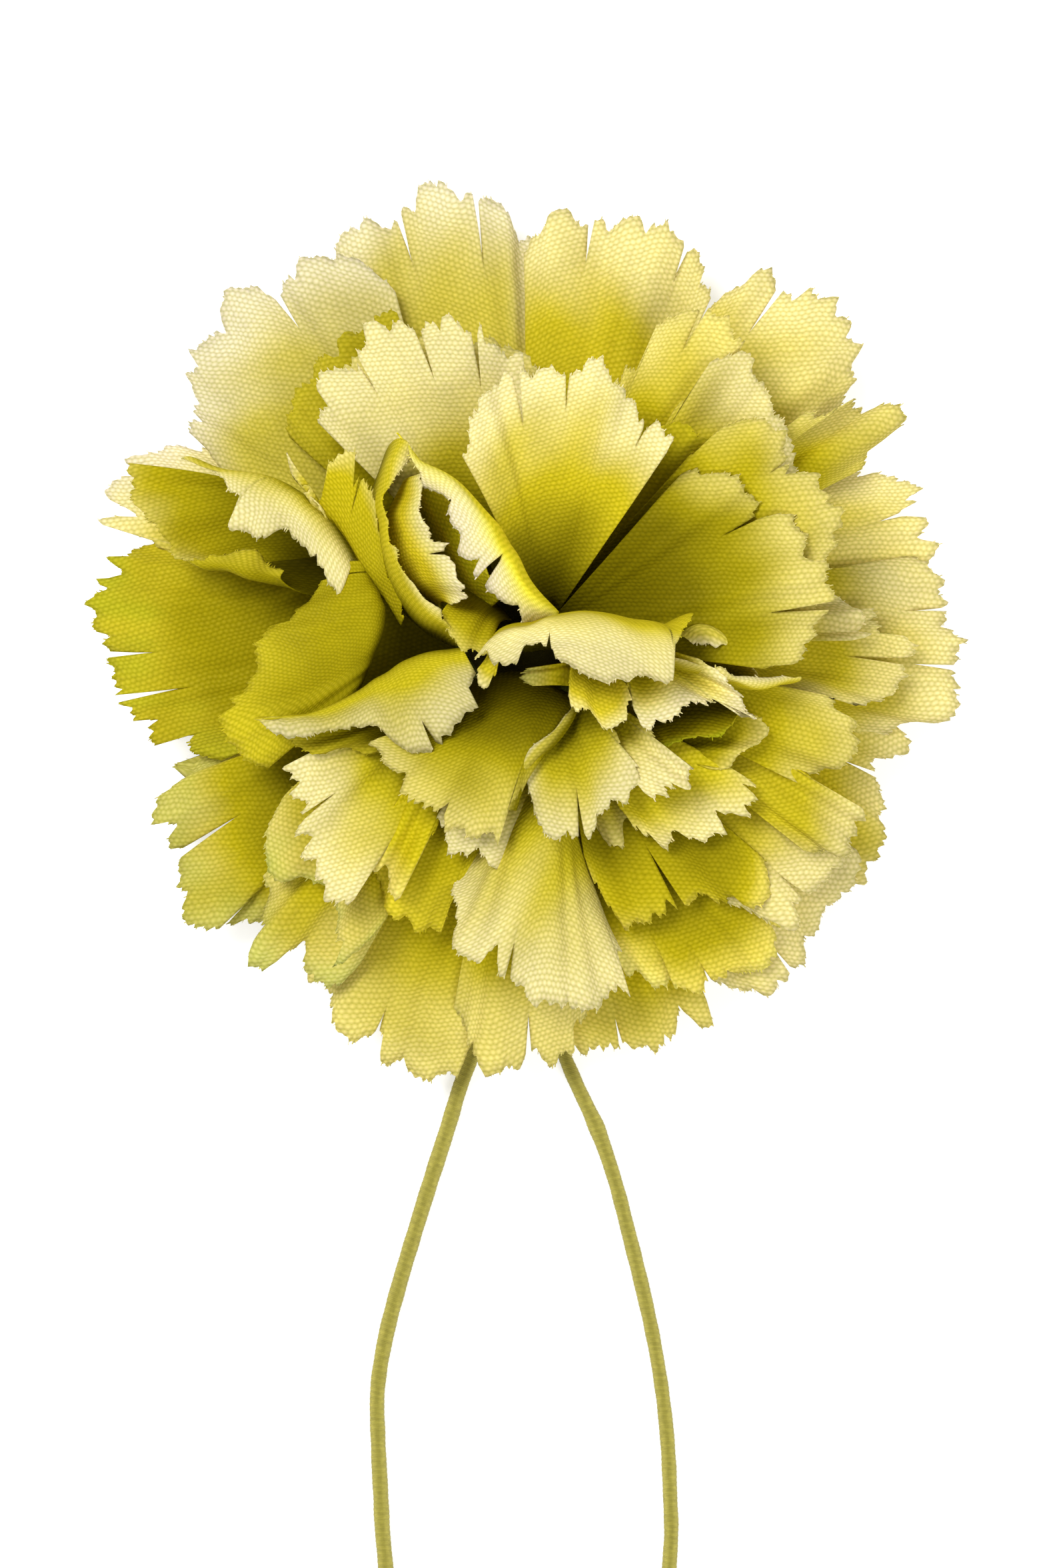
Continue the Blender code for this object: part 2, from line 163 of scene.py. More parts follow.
# The part's own route, out of the disc, round the loop and back.
CORD_ROUTE = (
    (-1.1, -9.6, 2.7), (-1.1, -12.0, 2.7), (-1.1, -15.0, 2.6), (-1.1, -18.0, 2.0), (-1.1, -21.5, 1.2),
    (-1.4, -25.0, 0.75), (-2.4, -28.6, 0.65), (-3.7, -31.9, 0.65), (-5.1, -35.5, 0.65),
    (-6.2, -39.1, 0.65), (-7.55, -43.3, 0.65), (-8.85, -47.5, 0.65), (-10.1, -51.7, 0.65),
    (-11.15, -55.8, 0.65), (-11.8, -60.0, 0.65), (-11.75, -64.2, 0.65), (-11.55, -68.3, 0.65),
    (-11.3, -72.5, 0.65), (-10.5, -78.2, 0.65), (-8.1, -83.2, 0.65), (-4.4, -86.9, 0.65),
    (0.2, -88.2, 0.65), (4.9, -87.1, 0.65), (8.6, -83.7, 0.65), (10.9, -79.0, 0.65),
    (11.65, -72.5, 0.65), (11.6, -68.3, 0.65), (11.4, -64.2, 0.65), (10.95, -60.0, 0.65),
    (10.25, -55.8, 0.65), (9.35, -51.7, 0.65), (8.3, -47.5, 0.65), (7.2, -43.3, 0.65),
    (5.8, -39.2, 0.65), (4.1, -35.5, 0.65), (2.9, -32.6, 0.65), (1.9, -29.5, 0.65),
    (1.3, -25.5, 0.75), (1.1, -21.5, 1.2), (1.1, -18.0, 2.0), (1.1, -15.0, 2.6), (1.1, -12.0, 2.7),
    (1.1, -9.6, 2.7),
)

# ---------------------------------------------------------------- felt and glue
FIBRE_SCALE = 3800.0  # these scales are in waves a metre
CLUMP_SCALE = 700.0
LUMP_SCALE = 420.0
GLUE_DEEP = (0.62, 0.58, 0.40, 1.0)
GLUE_PALE = (0.80, 0.77, 0.62, 1.0)

# ---------------------------------------------------------------- camera, floor and lights
CAMERA_LENS = 100.0
CAMERA_SENSOR = 36.0
CAMERA_AIM = (-0.2, -11.55)
CAMERA_FOCUS_HEIGHT = 15.0
CAMERA_VIEW_HEIGHT = 120.25
CAMERA_DISTANCE = CAMERA_VIEW_HEIGHT * CAMERA_LENS / CAMERA_SENSOR

FLOOR_HALF = 1500.0
FLOOR_GREY = (0.62, 0.62, 0.62, 1.0)
FLOOR_GLOW = 0.56
WORLD_STRENGTH = 0.52
LAMPS = {  # place and width in metres, power in watts
    "key": ((-0.34, 0.30, 0.82), 0.40, 8.1),
    "fill": ((0.45, -0.35, 0.70), 0.60, 4.0),
}


def add_object(name, data):
    obj = bpy.data.objects.new(name, data)
    bpy.context.scene.collection.objects.link(obj)
    return obj


def add_camera():
    data = bpy.data.cameras.new("camera")
    data.lens = CAMERA_LENS
    data.sensor_width = CAMERA_SENSOR
    camera = add_object("camera", data)
    camera.location = Vector((*CAMERA_AIM, CAMERA_FOCUS_HEIGHT + CAMERA_DISTANCE)) * MM
    bpy.context.scene.camera = camera


# ---------------------------------------------------------------- materials
class Nodes:
    """Short calls for building a material's node tree."""

    def __init__(self, name):
        self.material = bpy.data.materials.new(name)
        self.material.use_nodes = True
        self.tree = self.material.node_tree
        self.shader = self.tree.nodes["Principled BSDF"]

    def add(self, kind, **settings):
        node = self.tree.nodes.new(kind)
        for key, value in settings.items():
            setattr(node, key, value)
        return node

    def put(self, sockets, *values):
        """Gives each socket in turn its value, or links it to the output given in its place."""
        for socket, value in zip(sockets, values):
            if hasattr(value, "is_output"):
                self.tree.links.new(value, socket)
            else:
                socket.default_value = value

    def shade(self, **values):
        """Sets the shader's inputs, named with _ for each space."""
        for name, value in values.items():
            self.put([self.shader.inputs[name.replace("_", " ")]], value)
        return self.material

    def position(self):
        return self.add("ShaderNodeNewGeometry").outputs["Position"]

    def uv(self, name):
        """A UV map as a vector, and its two parts."""
        vector = self.add("ShaderNodeUVMap", uv_map=name).outputs[0]
        split = self.add("ShaderNodeSeparateXYZ")
        self.put(split.inputs, vector)
        return vector, split.outputs[0], split.outputs[1]

    def math(self, operation, *values):
        node = self.add("ShaderNodeMath", operation=operation)
        self.put(node.inputs, *values)
        return node.outputs[0]

    def mix(self, factor, first, second, blend="MIX"):
        node = self.add("ShaderNodeMix", data_type="RGBA", blend_type=blend)
        # A mix of colours uses these of the node's sockets; the rest are for other kinds of value.
        self.put([node.inputs[k] for k in (0, 6, 7)], factor, first, second)
        return node.outputs[2]

    def times(self, first, second):
        return self.mix(1.0, first, second, "MULTIPLY")

    def noise(self, vector, scale, detail=2.0):
        node = self.add("ShaderNodeTexNoise")
        self.put([node.inputs[name] for name in ("Vector", "Scale", "Detail")], vector, scale, detail)
        return node.outputs["Fac"]

    def range(self, value, low, high, new_low, new_high):
        node = self.add("ShaderNodeMapRange")
        self.put(node.inputs, value, low, high, new_low, new_high)
        return node.outputs[0]

    def mottle(self, vector, scale, detail, darkest, lightest):
        return self.range(self.noise(vector, scale, detail), *NOISE_SPREAD, darkest, lightest)

    def bump(self, height, distance, strength):
        """A normal for a height, which is counted in distances of so many millimetres."""
        node = self.add("ShaderNodeBump")
        self.put([node.inputs[name] for name in ("Strength", "Distance", "Height")],
                 strength, distance * MM, height)
        return node.outputs[0]


def weave_floats(n):
    """The flat cloth's places, and its raised floats in staggered rows: 0 between them, 1 on each."""
    uv, *sides = n.uv("cloth")
    # The cloth isn't perfectly even: its threads drift a little.
    drift = n.math("SUBTRACT", n.noise(uv, DRIFT_SCALE), 0.5)
    waves = []
    for side, pitch in zip(sides, (FLOAT_SPACING, 2 * FLOAT_ROW_PITCH)):
        turns = n.math("ADD", n.math("DIVIDE", side, pitch), drift)
        waves.append(n.math("COSINE", n.math("MULTIPLY", turns, TURN)))
    across, along = waves
    rows = n.math("MULTIPLY_ADD", n.math("MULTIPLY", along, along), 2 * FLOAT_ROW_SHARE, -FLOAT_ROW_SHARE)
    height = n.math("MULTIPLY_ADD", across, along, rows)
    floats = n.range(height, FLOAT_HOLLOW, 1.0 + FLOAT_ROW_SHARE, 0.0, 1.0)
    return uv, n.math("POWER", floats, FLOAT_SHARPNESS)


def cloth_material():
    """Dyed plain-weave cloth: the dye with its painted shade and light comes from the mesh; the weave, with
    painted shade in its gaps and painted sheen on its floats, comes from the flat cloth's UV map.
    """
    n = Nodes("petal_cloth")
    uv, floats = weave_floats(n)
    dye = n.add("ShaderNodeAttribute", attribute_name="dye").outputs["Color"]
    toned = n.times(dye, n.math("MULTIPLY", n.mottle(uv, **BLOTCH), n.mottle(uv, **SLUB)))
    # The colour carries painted shade in the gaps between the floats and painted sheen on them.
    colour = n.times(toned, n.mix(floats, WEAVE_GAP_SHADE, WEAVE_FLOAT_SHEEN))
    # Painted sheen: a pale highlight added on the floats, more where the cloth is pale.
    parts = n.add("ShaderNodeSeparateColor")
    n.put(parts.inputs, toned)
    painted_sheen = n.math("MULTIPLY", floats, n.math("POWER", parts.outputs[0], 2.0))
    colour = n.mix(painted_sheen, colour, FLOAT_PAINTED_SHEEN, "ADD")
    through = n.add("ShaderNodeBsdfTranslucent")
    n.put([through.inputs["Color"]], colour)
    blend = n.add("ShaderNodeMixShader")
    n.put(blend.inputs, CLOTH_TRANSLUCENCE, n.shader.outputs[0], through.outputs[0])
    n.put([n.tree.nodes["Material Output"].inputs["Surface"]], blend.outputs[0])
    return n.shade(Base_Color=colour, Roughness=n.range(floats, 0.2, 0.9, *CLOTH_ROUGHNESS),
                   Specular_IOR_Level=CLOTH_SPECULAR, Specular_Tint=CLOTH_GLINT,
                   Normal=n.bump(floats, WEAVE_HEIGHT, WEAVE_BUMP))


def cord_material():
    """Yarn wound round the cord: fine turns, with painted shade between the turns and along the hollow of
    its upper side.
    """
    n = Nodes("cord_yarn_wound")
    around, wound = n.uv("wrap")[1:]
    turn = n.math("DIVIDE", wound, CORD_WRAP_PITCH)
    fibre = n.math("COSINE", n.math("MULTIPLY", turn, 3 * TURN))
    turn_shade = n.math("COSINE", n.math("MULTIPLY", turn, TURN))
    place = n.position()
    fuzz = n.noise(place, CORD_FUZZ_SCALE, 3.0)
    wander = n.math("MULTIPLY", n.math("SUBTRACT", n.noise(place, CORD_PATCH_SCALE), 0.5), 0.04)
    # Painted shade: the colour is darker along the hollow of the upper side.
    from_hollow = n.math("ABSOLUTE", n.math("SUBTRACT", around, CORD_HOLLOW_PLACE))
    hollow_shade = n.range(n.math("ADD", from_hollow, wander), 0.03, 0.13, 1.0, 0.0)
    colour = n.mix(hollow_shade, CORD_PALE, CORD_HOLLOW_SHADE)
    # Painted shade between the turns of yarn, lighter on each turn.
    colour = n.times(colour, n.range(turn_shade, -1.0, 1.0, 0.93, 1.05))
    colour = n.times(colour, n.range(fibre, -1.0, 1.0, 0.96, 1.03))
    colour = n.times(colour, n.range(fuzz, *NOISE_SPREAD, 0.85, 1.12))
    height = n.math("ADD", n.math("MULTIPLY", fibre, 0.25), fuzz)
    return n.shade(Base_Color=colour, Roughness=0.8, Specular_IOR_Level=0.2, Sheen_Weight=0.15,
                   Sheen_Roughness=0.4, Normal=n.bump(height, 0.05, 0.8))


def felt_material(name, dark, light, sheen=0.5):
    """Matted fibres, in clumps, from a dark colour to a light one."""
    n = Nodes(name)
    place = n.position()
    fibres = n.noise(place, FIBRE_SCALE, 6.0)
    clumps = n.noise(place, CLUMP_SCALE, 4.0)
    share = n.math("MULTIPLY_ADD", fibres, 0.6, n.math("MULTIPLY", clumps, 0.4))
    return n.shade(Base_Color=n.mix(share, (*dark, 1.0), (*light, 1.0)), Roughness=0.95,
                   Specular_IOR_Level=0.05, Sheen_Weight=sheen,
                   Normal=n.bump(n.math("ADD", fibres, clumps), 0.25, 0.9))


def glue_material():
    """Set hot-melt glue: milky, lumpy and half glossy."""
    n = Nodes("glue_set")
    lumps = n.noise(n.position(), LUMP_SCALE, 3.0)
    return n.shade(Base_Color=n.mix(lumps, GLUE_DEEP, GLUE_PALE),
                   Roughness=n.range(lumps, *NOISE_SPREAD, 0.35, 0.55), Normal=n.bump(lumps, 0.4, 0.7))


def dress_cad_nodes():
    looks = {
        "backing_disc": felt_material("felt_olive", (0.10, 0.11, 0.015), (0.30, 0.31, 0.08)),
        "glue_pad": glue_material(),
        "calyx_cup": felt_material("calyx_green", (0.07, 0.09, 0.01), (0.22, 0.26, 0.05)),
        # The bound core is coloured near black without sheen: painted shade of the hollow among the petals.
        "flower_core": felt_material("core_painted_shade", (0.010, 0.008, 0.001), (0.035, 0.028, 0.002), sheen=0.0),
    }
    for node, material in looks.items():
        for slot in bpy.data.objects[node].material_slots:
            slot.material = material


# ---------------------------------------------------------------- curves
def extended(points):
    """The points with one more at either end, in line with the two beside it."""
    return np.stack([2 * points[0] - points[1], *points, 2 * points[-1] - points[-2]])


def smooth_between(a, b, c, d, t):
    """The place at share t from b to c on a smooth curve through a, b, c and d."""
    return 0.5 * (2 * b + (c - a) * t + (2 * a - 5 * b + 4 * c - d) * t ** 2
                  + (3 * b - a - 3 * c + d) * t ** 3)


def spaced(points, count):
    """count points evenly along a smooth curve through the given ones."""
    points = np.array(points, float)
    if len(points) > 2:
        line = extended(points)
        t = np.linspace(0.0, 1.0, CURVE_STEPS, endpoint=False)[:, None]
        pieces = [smooth_between(*near, t) for near in zip(line, line[1:], line[2:], line[3:])]
        points = np.vstack(pieces + [points[-1:]])
    lengths = np.concatenate([[0.0], np.cumsum(np.linalg.norm(np.diff(points, axis=0), axis=1))])
    wanted = np.linspace(0.0, lengths[-1], count)
    return np.stack([np.interp(wanted, lengths, points[:, k]) for k in range(3)], axis=1)


def length_of(points):
    return float(np.linalg.norm(np.diff(points, axis=0), axis=1).sum())


def unit(vectors, smallest=0.0):
    return vectors / np.maximum(np.linalg.norm(vectors, axis=-1, keepdims=True), smallest)


def smoothstep(low, high, x):
    t = np.clip((x - low) / (high - low), 0.0, 1.0)
    return t * t * (3 - 2 * t)


# ---------------------------------------------------------------- sheets of cloth
@dataclass
class Sheet:
    """One sheet of cloth, shaped by rows of places from its foot to just past its cut tip edge.

    Plan places, such as those of the edge, are given as they look from the camera.
    """
    rows: list
    edge: list              # the cut tip edge, as plan places in order across the sheet
    slits: tuple = ()       # the plan place where each slit ends, cut in from the tip edge
    wave: tuple = (0.5, 2.0, 0.0)  # height, count and phase of ripples that grow towards the edge
    dye: str = "mid"        # a name in the table of dyes, whose colours carry painted shade at the foot
    deep: float = 0.0       # how much further out the foot's painted shade reaches, as a share of the length
    bleach: float = 0.0     # how much further in the tip's pale dye reaches, as a share of the length
    tone: float = 1.0       # how light this petal is beside the others: partly its dye bath, partly painted light and shade for how it lies to the lamps
    green: float = 0.0      # how strongly the tip edge is tinted green, 0 to 1
    teeth: float = 1.0      # the size of the teeth along the edge, as a share of TOOTH_DEPTH
    lift: float = 0.6       # how far the lobes between slits stand apart


def fan(foot, edge, tip_z, rise, width=2.0, **options):
    """A petal that spreads from its foot to its cut edge, arching up by rise between them."""
    foot = np.array(foot, float)
    edge = np.array([(*place, tip_z)[:3] for place in edge], float)
    away = edge[:, :2] - foot[:2]
    angle = np.unwrap(np.arctan2(away[:, 1], away[:, 0]))
    turn = 1.0 if angle[-1] > angle[0] else -1.0
    angle = np.maximum.accumulate(angle * turn) + np.arange(len(angle)) * 1e-6
    reach = np.linalg.norm(away, axis=1)
    around = np.linspace(angle[0], angle[-1], ARC_POINTS)
    # In each direction the sheet reaches as far as the furthest tip close by, so the cut falls on it.
    window = np.linspace(-0.5, 0.5, 9) * (angle[-1] - angle[0]) / (ARC_POINTS - 3)
    furthest = np.array([np.interp(a + window, angle, reach).max() for a in around])
    smooth = np.convolve(np.pad(furthest, 1, mode="edge"), (0.25, 0.5, 0.25), mode="valid")
    smooth = np.maximum(smooth, furthest)
    tips = np.stack([foot[0] + smooth * np.cos(around * turn), foot[1] + smooth * np.sin(around * turn),
                     np.interp(around, angle, edge[:, 2])], axis=1)
    side = unit(tips[-1] - tips[0])
    heading = unit(tips.mean(axis=0) - foot)
    across = np.linspace(-0.5, 0.5, len(tips))[:, None]
    feet = foot + side * width * across + heading * FOOT_CURVE * width * np.cos(across * math.pi)
    middles = (feet + tips) / 2 + np.array((0.0, 0.0, rise))
    return Sheet([feet, middles, tips], edge[:, :2], **options)


def outer(foot, edge, tip_z, rise=2.5, dye="outer", **options):
    """A petal of the flat skirt, with a broad foot."""
    return fan(foot, edge, tip_z, rise, width=3.5, dye=dye, **options)


def surface(control, u, v):
    """Points on the sheet at shares u across and v along, from its evenly spaced control columns."""
    last = control.shape[1] - 1
    place = np.clip(u, 0.0, 1.0) * last
    k = np.minimum(place.astype(int), last - 1)
    f = (place - k)[..., None]
    rows = [row[k] * (1 - f) + row[k + 1] * f for row in control]
    v = v[..., None]
    if len(rows) == 2:
        return rows[0] * (1 - v) + rows[1] * v
    if len(rows) == 3:
        handle = 2 * rows[1] - (rows[0] + rows[2]) / 2
        return rows[0] * (1 - v) ** 2 + handle * 2 * v * (1 - v) + rows[2] * v ** 2
    rows = extended(rows)
    place = v[..., 0] * (len(rows) - 3)
    k = np.minimum(place.astype(int), len(rows) - 4)
    near = [np.take_along_axis(rows, (k + j)[None, ..., None], axis=0)[0] for j in range(4)]
    return smooth_between(*near, (place - k)[..., None])


def normals_of(control, u, v):
    step = 0.01
    across = surface(control, np.minimum(u + step, 1.0), v) - surface(control, np.maximum(u - step, 0.0), v)
    along = surface(control, u, np.minimum(v + step, 1.0)) - surface(control, u, np.maximum(v - step, 0.0))
    return unit(np.cross(across, along), 1e-9)


def ripple(x, y, rng):
    """A smooth random height, about -1 to 1, made of a few crossing waves."""
    total = np.zeros_like(x)
    for scale in RIPPLE_SCALES:
        angle, phase = rng.uniform(0, TURN), rng.uniform(0, TURN)
        total = total + np.sin(scale * (x * math.cos(angle) + y * math.sin(angle)) + phase) / (1 + scale)
    return total / 2


def jittered_bounds(length, pitch, rng):
    bounds = [-rng.uniform(0.0, FIRST_PITCH) * pitch]
    while bounds[-1] < length:
        bounds.append(bounds[-1] + pitch * rng.uniform(*PITCH_VARIETY))
    return np.array(bounds)


def seen_to_true(points):
    """Places moved to where they really lie: a higher one looks further from the camera's axis."""
    aim = np.array(CAMERA_AIM)
    shrink = 1.0 - (points[..., 2:] - CAMERA_FOCUS_HEIGHT) / CAMERA_DISTANCE
    return np.concatenate([aim + (points[..., :2] - aim) * shrink, points[..., 2:]], axis=-1)


def places_on(control, points):
    """Shares across and along the sheet of the places below the given plan points, in order across."""
    shares = [np.linspace(*ends, steps) for ends, steps in zip(((0.0, 1.0), (0.3, 1.08)), SEARCH_STEPS)]
    u, v = np.meshgrid(*shares, indexing="ij")
    plan = surface(control, u, v)[..., :2]
    found = []
    for point in points:
        nearest = np.argmin(((plan - np.array(point[:2])) ** 2).sum(axis=-1))
        found.append((u.flat[nearest], v.flat[nearest]))
    if found and found[0][0] > found[-1][0]:
        found.reverse()
    return np.array(found, float).reshape(-1, 2)


def tooth_depths(distance, length, sheet, rng):
    """How far the cut edge is nibbled back at each distance along it: teeth, notches and loose threads."""
    bounds = jittered_bounds(length, TOOTH_PITCH, rng)
    depths = np.array([TOOTH_DEPTH * sheet.teeth * rng.uniform(*TOOTH_VARIETY) for _ in bounds])
    peaks = np.array([rng.uniform(*TOOTH_LEAN) for _ in bounds])
    k = np.clip(np.searchsorted(bounds, distance, side="right") - 1, 0, len(bounds) - 2)
    x = (distance - bounds[k]) / (bounds[k + 1] - bounds[k])
    cut = depths[k] * np.where(x < peaks[k], (peaks[k] - x) / peaks[k], (x - peaks[k]) / (1 - peaks[k]))
    for place in jittered_bounds(length, LOBE_WIDTH, rng)[1:]:
        depth = NOTCH_DEPTH * sheet.teeth * rng.uniform(*NOTCH_VARIETY)
        width = rng.uniform(*NOTCH_WIDTH)
        cut += depth * np.clip(1.0 - np.abs(distance - place) / width, 0.0, 1.0)
    return cut + np.array([rng.uniform(-NIBBLE, NIBBLE) for _ in distance]) * sheet.teeth


def dye_colours(sheet, v, x, y, rng):
    """The dye at share v along the sheet, with painted shade at the foot and painted light and shade from
    the tone, its bounds wandering over the flat cloth.
    """
    foot, middle, tip = (np.array(colour) for colour in DYES_AND_FOOT_SHADE[sheet.dye])
    shade = np.clip(v + DYE_WANDER * ripple(x, y, rng), 0.0, 1.0)[..., None]
    # The foot's painted shade gives way to the middle colour here, pushed further out by the deep setting.
    low = smoothstep(DYE_FOOT + sheet.deep, DYE_MIDDLE + sheet.deep, shade)
    high = smoothstep(DYE_PALE - sheet.bleach, DYE_TIP - BLEACH_AT_TIP * sheet.bleach, shade)
    colour = foot * (1 - low) + middle * low
    # The tone scales the whole colour: partly the petal's own dye, partly painted light and shade.
    colour = np.minimum((colour * (1 - high) + tip * high) * sheet.tone, PALEST)
    if sheet.green:
        wander = GREEN_WANDER * ripple(2 * x, 2 * y, rng)[..., None]
        tint = sheet.green * smoothstep(GREEN_START, 1.0, shade + wander)
        colour = colour * (1 - tint) + np.array(GREEN) * tint
    return colour


def cut_out(sheet, control, ray_length, tip_length, rng):
    """How far along the cut edge lies at each column, and the columns and ends of the slits."""
    count = control.shape[1] - 1
    distance = np.linspace(0.0, 1.0, count + 1) * tip_length
    cut = tooth_depths(distance, tip_length, sheet, rng)
    corners = np.exp(-distance / CORNER_ROUNDING), np.exp(-(tip_length - distance) / CORNER_ROUNDING)
    cut += CORNER_ROUNDING * corners[0] + CORNER_ROUNDING * corners[1]
    slit_ends = {}
    for place, end in places_on(control, sheet.slits):
        column = min(max(round(place * count), 3), count - 3)
        slit_ends[column] = end
        cut += SLIT_ROUNDING * np.exp(-np.abs(distance - distance[column]) / SLIT_ROUNDING)
    places = places_on(control, sheet.edge)
    across_edge = np.maximum.accumulate(places[:, 0]) + np.arange(len(places)) * 1e-6
    edge = np.interp(np.linspace(0.0, 1.0, count + 1), across_edge, places[:, 1]) - cut / ray_length
    return edge, slit_ends


def opening(column, edge, slit_ends, ray_length, tip_length, t):
    """How far the slit at a column stands open, as a share of the width, at shares t to its edge."""
    end = slit_ends.get(column, 1.0)
    depth = max(edge[column] - end, 0.0) * ray_length[column]
    gap = (SLIT_GAP + SLIT_SPREAD * depth) / tip_length if depth else 0.0
    return gap * np.clip((t * edge[column] - end) / max(edge[column] - end, 0.01), 0.0, 1.0)


def flat_radius(mean_ray, foot_length, tip_length):
    """How far the foot lies from where the sides would meet, when the sheet is laid flat."""
    if tip_length > NEARLY_STRAIGHT * foot_length:
        return mean_ray * foot_length / (tip_length - foot_length)
    return STRAIGHT_RADIUS * mean_ray


def ripples(sheet, seed, across, v, x, y, tip_length):
    """How far the cloth stands off its smooth shape in ripples, cockles and pleats."""
    height, waves, phase = sheet.wave
    swell = height * v ** WAVE_GROWTH * np.sin(TURN * (waves * across + phase))
    swell = swell + COCKLE_HEIGHT * v * ripple(x, y, random.Random(seed * 7 + 1))
    pleats = TURN * across * max(2.0, tip_length / PLEAT_PITCH)
    wander = PLEAT_WANDER * np.sin(pleats / PLEATS_A_WANDER + seed)
    return swell + PLEAT_HEIGHT * v ** PLEAT_GROWTH * np.sin(pleats + wander + PLEAT_LEAN * v)


def sheet_mesh(sheet, seed):
    """One sheet's vertices, woven quads, faces with frays, flat cloth places and dye with its painted shade
    and light.
    """
    rng = random.Random(seed)
    tip_length = length_of(spaced(sheet.rows[-1], LENGTH_POINTS))
    count = max(FEWEST_COLUMNS, round(tip_length * COLUMNS_PER_MM))
    control = np.stack([spaced(row, count + 1) for row in sheet.rows])
    # The columns run the way that turns the sheet's front up.
    if normals_of(control, np.array([0.5]), np.array([0.6]))[0, 2] < 0:
        control = control[:, ::-1]
    u = np.linspace(0.0, 1.0, count + 1)
    rays = [surface(control, u, np.full_like(u, v)) for v in np.linspace(0.0, 1.0, RAY_POINTS)]
    ray_length = sum(np.linalg.norm(b - a, axis=1) for a, b in zip(rays, rays[1:]))
    edge, slit_ends = cut_out(sheet, control, ray_length, tip_length, rng)
    control = seen_to_true(control)

    bounds = [0] + sorted(slit_ends) + [count]
    lobes = list(zip(bounds, bounds[1:]))
    deepest = min(slit_ends.values(), default=LIFT_UNSLIT)
    t = np.linspace(0.0, 1.0, ROWS + 1)[:, None] ** ROW_EASE
    mean_ray = float(ray_length.mean())
    inner = flat_radius(mean_ray, length_of(control[0]), tip_length)
    # The cloth was cut with its rows of floats lying much the same way in every petal.
    heading = control[-1].mean(axis=0) - control[0].mean(axis=0)
    grain = math.atan2(heading[1], heading[0]) - math.pi / 2 + rng.uniform(-GRAIN_SPREAD, GRAIN_SPREAD)
    vertices, uvs, dyes, index = [], [], [], {}
    for lobe, (first, last) in enumerate(lobes):
        columns = np.arange(first, last + 1)
        share = ((columns - first) / (last - first))[None, :]
        # Lobes between slits stand above and below the sheet in turn.
        side = 1 if (lobe + seed) % 2 else -1
        lifting = sheet.lift * (rng.uniform(*LOBE_STAND) * side) if slit_ends else 0.0
        tilting = sheet.lift * rng.uniform(-1.0, 1.0)
        opened = [opening(column, edge, slit_ends, ray_length, tip_length, t) for column in (first, last)]
        low, high = u[first] + opened[0], u[last] - opened[1]
        across = low + (high - low) * share
        v = t * edge[columns][None, :]
        radius = inner + v * ray_length[columns]
        angle = (across - 0.5) * tip_length / (inner + mean_ray)
        x, y = radius * np.sin(angle), radius * np.cos(angle) - inner
        rising = smoothstep(deepest - LIFT_START, 1.0, v)
        swell = ripples(sheet, seed, across, v, x, y, tip_length)
        swell = swell + rising * (lifting + tilting * (share - 0.5))
        if slit_ends:
            swell = swell + LOBE_BULGE * rising * np.sin(math.pi * share)
        points = surface(control, across, v) + normals_of(control, across, v) * swell[..., None]
        colours = dye_colours(sheet, v, x, y, random.Random(seed * 5 + 2))
        turned_x = x * math.cos(grain) - y * math.sin(grain)
        turned_y = x * math.sin(grain) + y * math.cos(grain)
        for j in range(ROWS + 1):
            for i, column in enumerate(columns):
                if column == first and lobe and t[j, 0] * edge[column] <= slit_ends[column]:
                    # Below the slit's end, the lobe is joined to the one before it.
                    index[lobe, j, column] = index[lobe - 1, j, column]
                    continue
                index[lobe, j, column] = len(vertices)
                vertices.append(points[j, i])
                uvs.append((turned_x[j, i], turned_y[j, i]))
                dyes.append(colours[j, i])
    quads = []
    for lobe, (first, last) in enumerate(lobes):
        for j in range(ROWS):
            for i in range(first, last):
                corners = ((j, i), (j, i + 1), (j + 1, i + 1), (j + 1, i))
                quads.append(tuple(index[(lobe, *corner)] for corner in corners))
    faces = quads + add_frays(vertices, uvs, dyes, index, lobes, sheet, rng)
    return np.array(vertices), quads, faces, np.array(uvs), np.array(dyes)


def add_frays(vertices, uvs, dyes, index, lobes, sheet, rng):
    """Thread ends, as short blunt strips that stand out from the tip edge."""
    faces = []
    for lobe, (first, last) in enumerate(lobes):
        for column in range(first, last):
            if rng.random() > FRAY_SHARE * min(1.0, 1.5 * sheet.teeth):
                continue
            edge = index[lobe, ROWS, column]
            outward = unit(vertices[edge] - vertices[index[lobe, ROWS - 2, column]], 1e-6)
            along = vertices[index[lobe, ROWS, column + 1]] - vertices[edge]
            width = along * (FRAY_WIDTH / max(np.linalg.norm(along), 1e-6))
            stray = np.array([rng.uniform(-FRAY_STRAY, FRAY_STRAY) for _ in range(3)])
            base = vertices[edge] + along * rng.random() * 0.6 - outward * FRAY_ROOT
            reach = (outward + stray) * (FRAY_ROOT + FRAY_LENGTH * rng.uniform(0.1, 1.0) ** 2)
            start = len(vertices)
            tip = base + reach
            vertices += [base, base + width, tip + width * (1 - FRAY_TAPER), tip + width * FRAY_TAPER]
            uvs += [uvs[edge]] * 4
            dyes += [dyes[edge]] * 4
            faces.append(tuple(range(start, start + 4)))
    return faces


def quad_area(points, quads):
    corners = points[np.array(quads)]
    if corners.shape[2] == 2:
        corners = np.concatenate([corners, np.zeros((*corners.shape[:2], 1))], axis=2)
    cross = np.cross(corners[:, 2] - corners[:, 0], corners[:, 3] - corners[:, 1])
    return float(np.linalg.norm(cross, axis=1).sum() / 2)


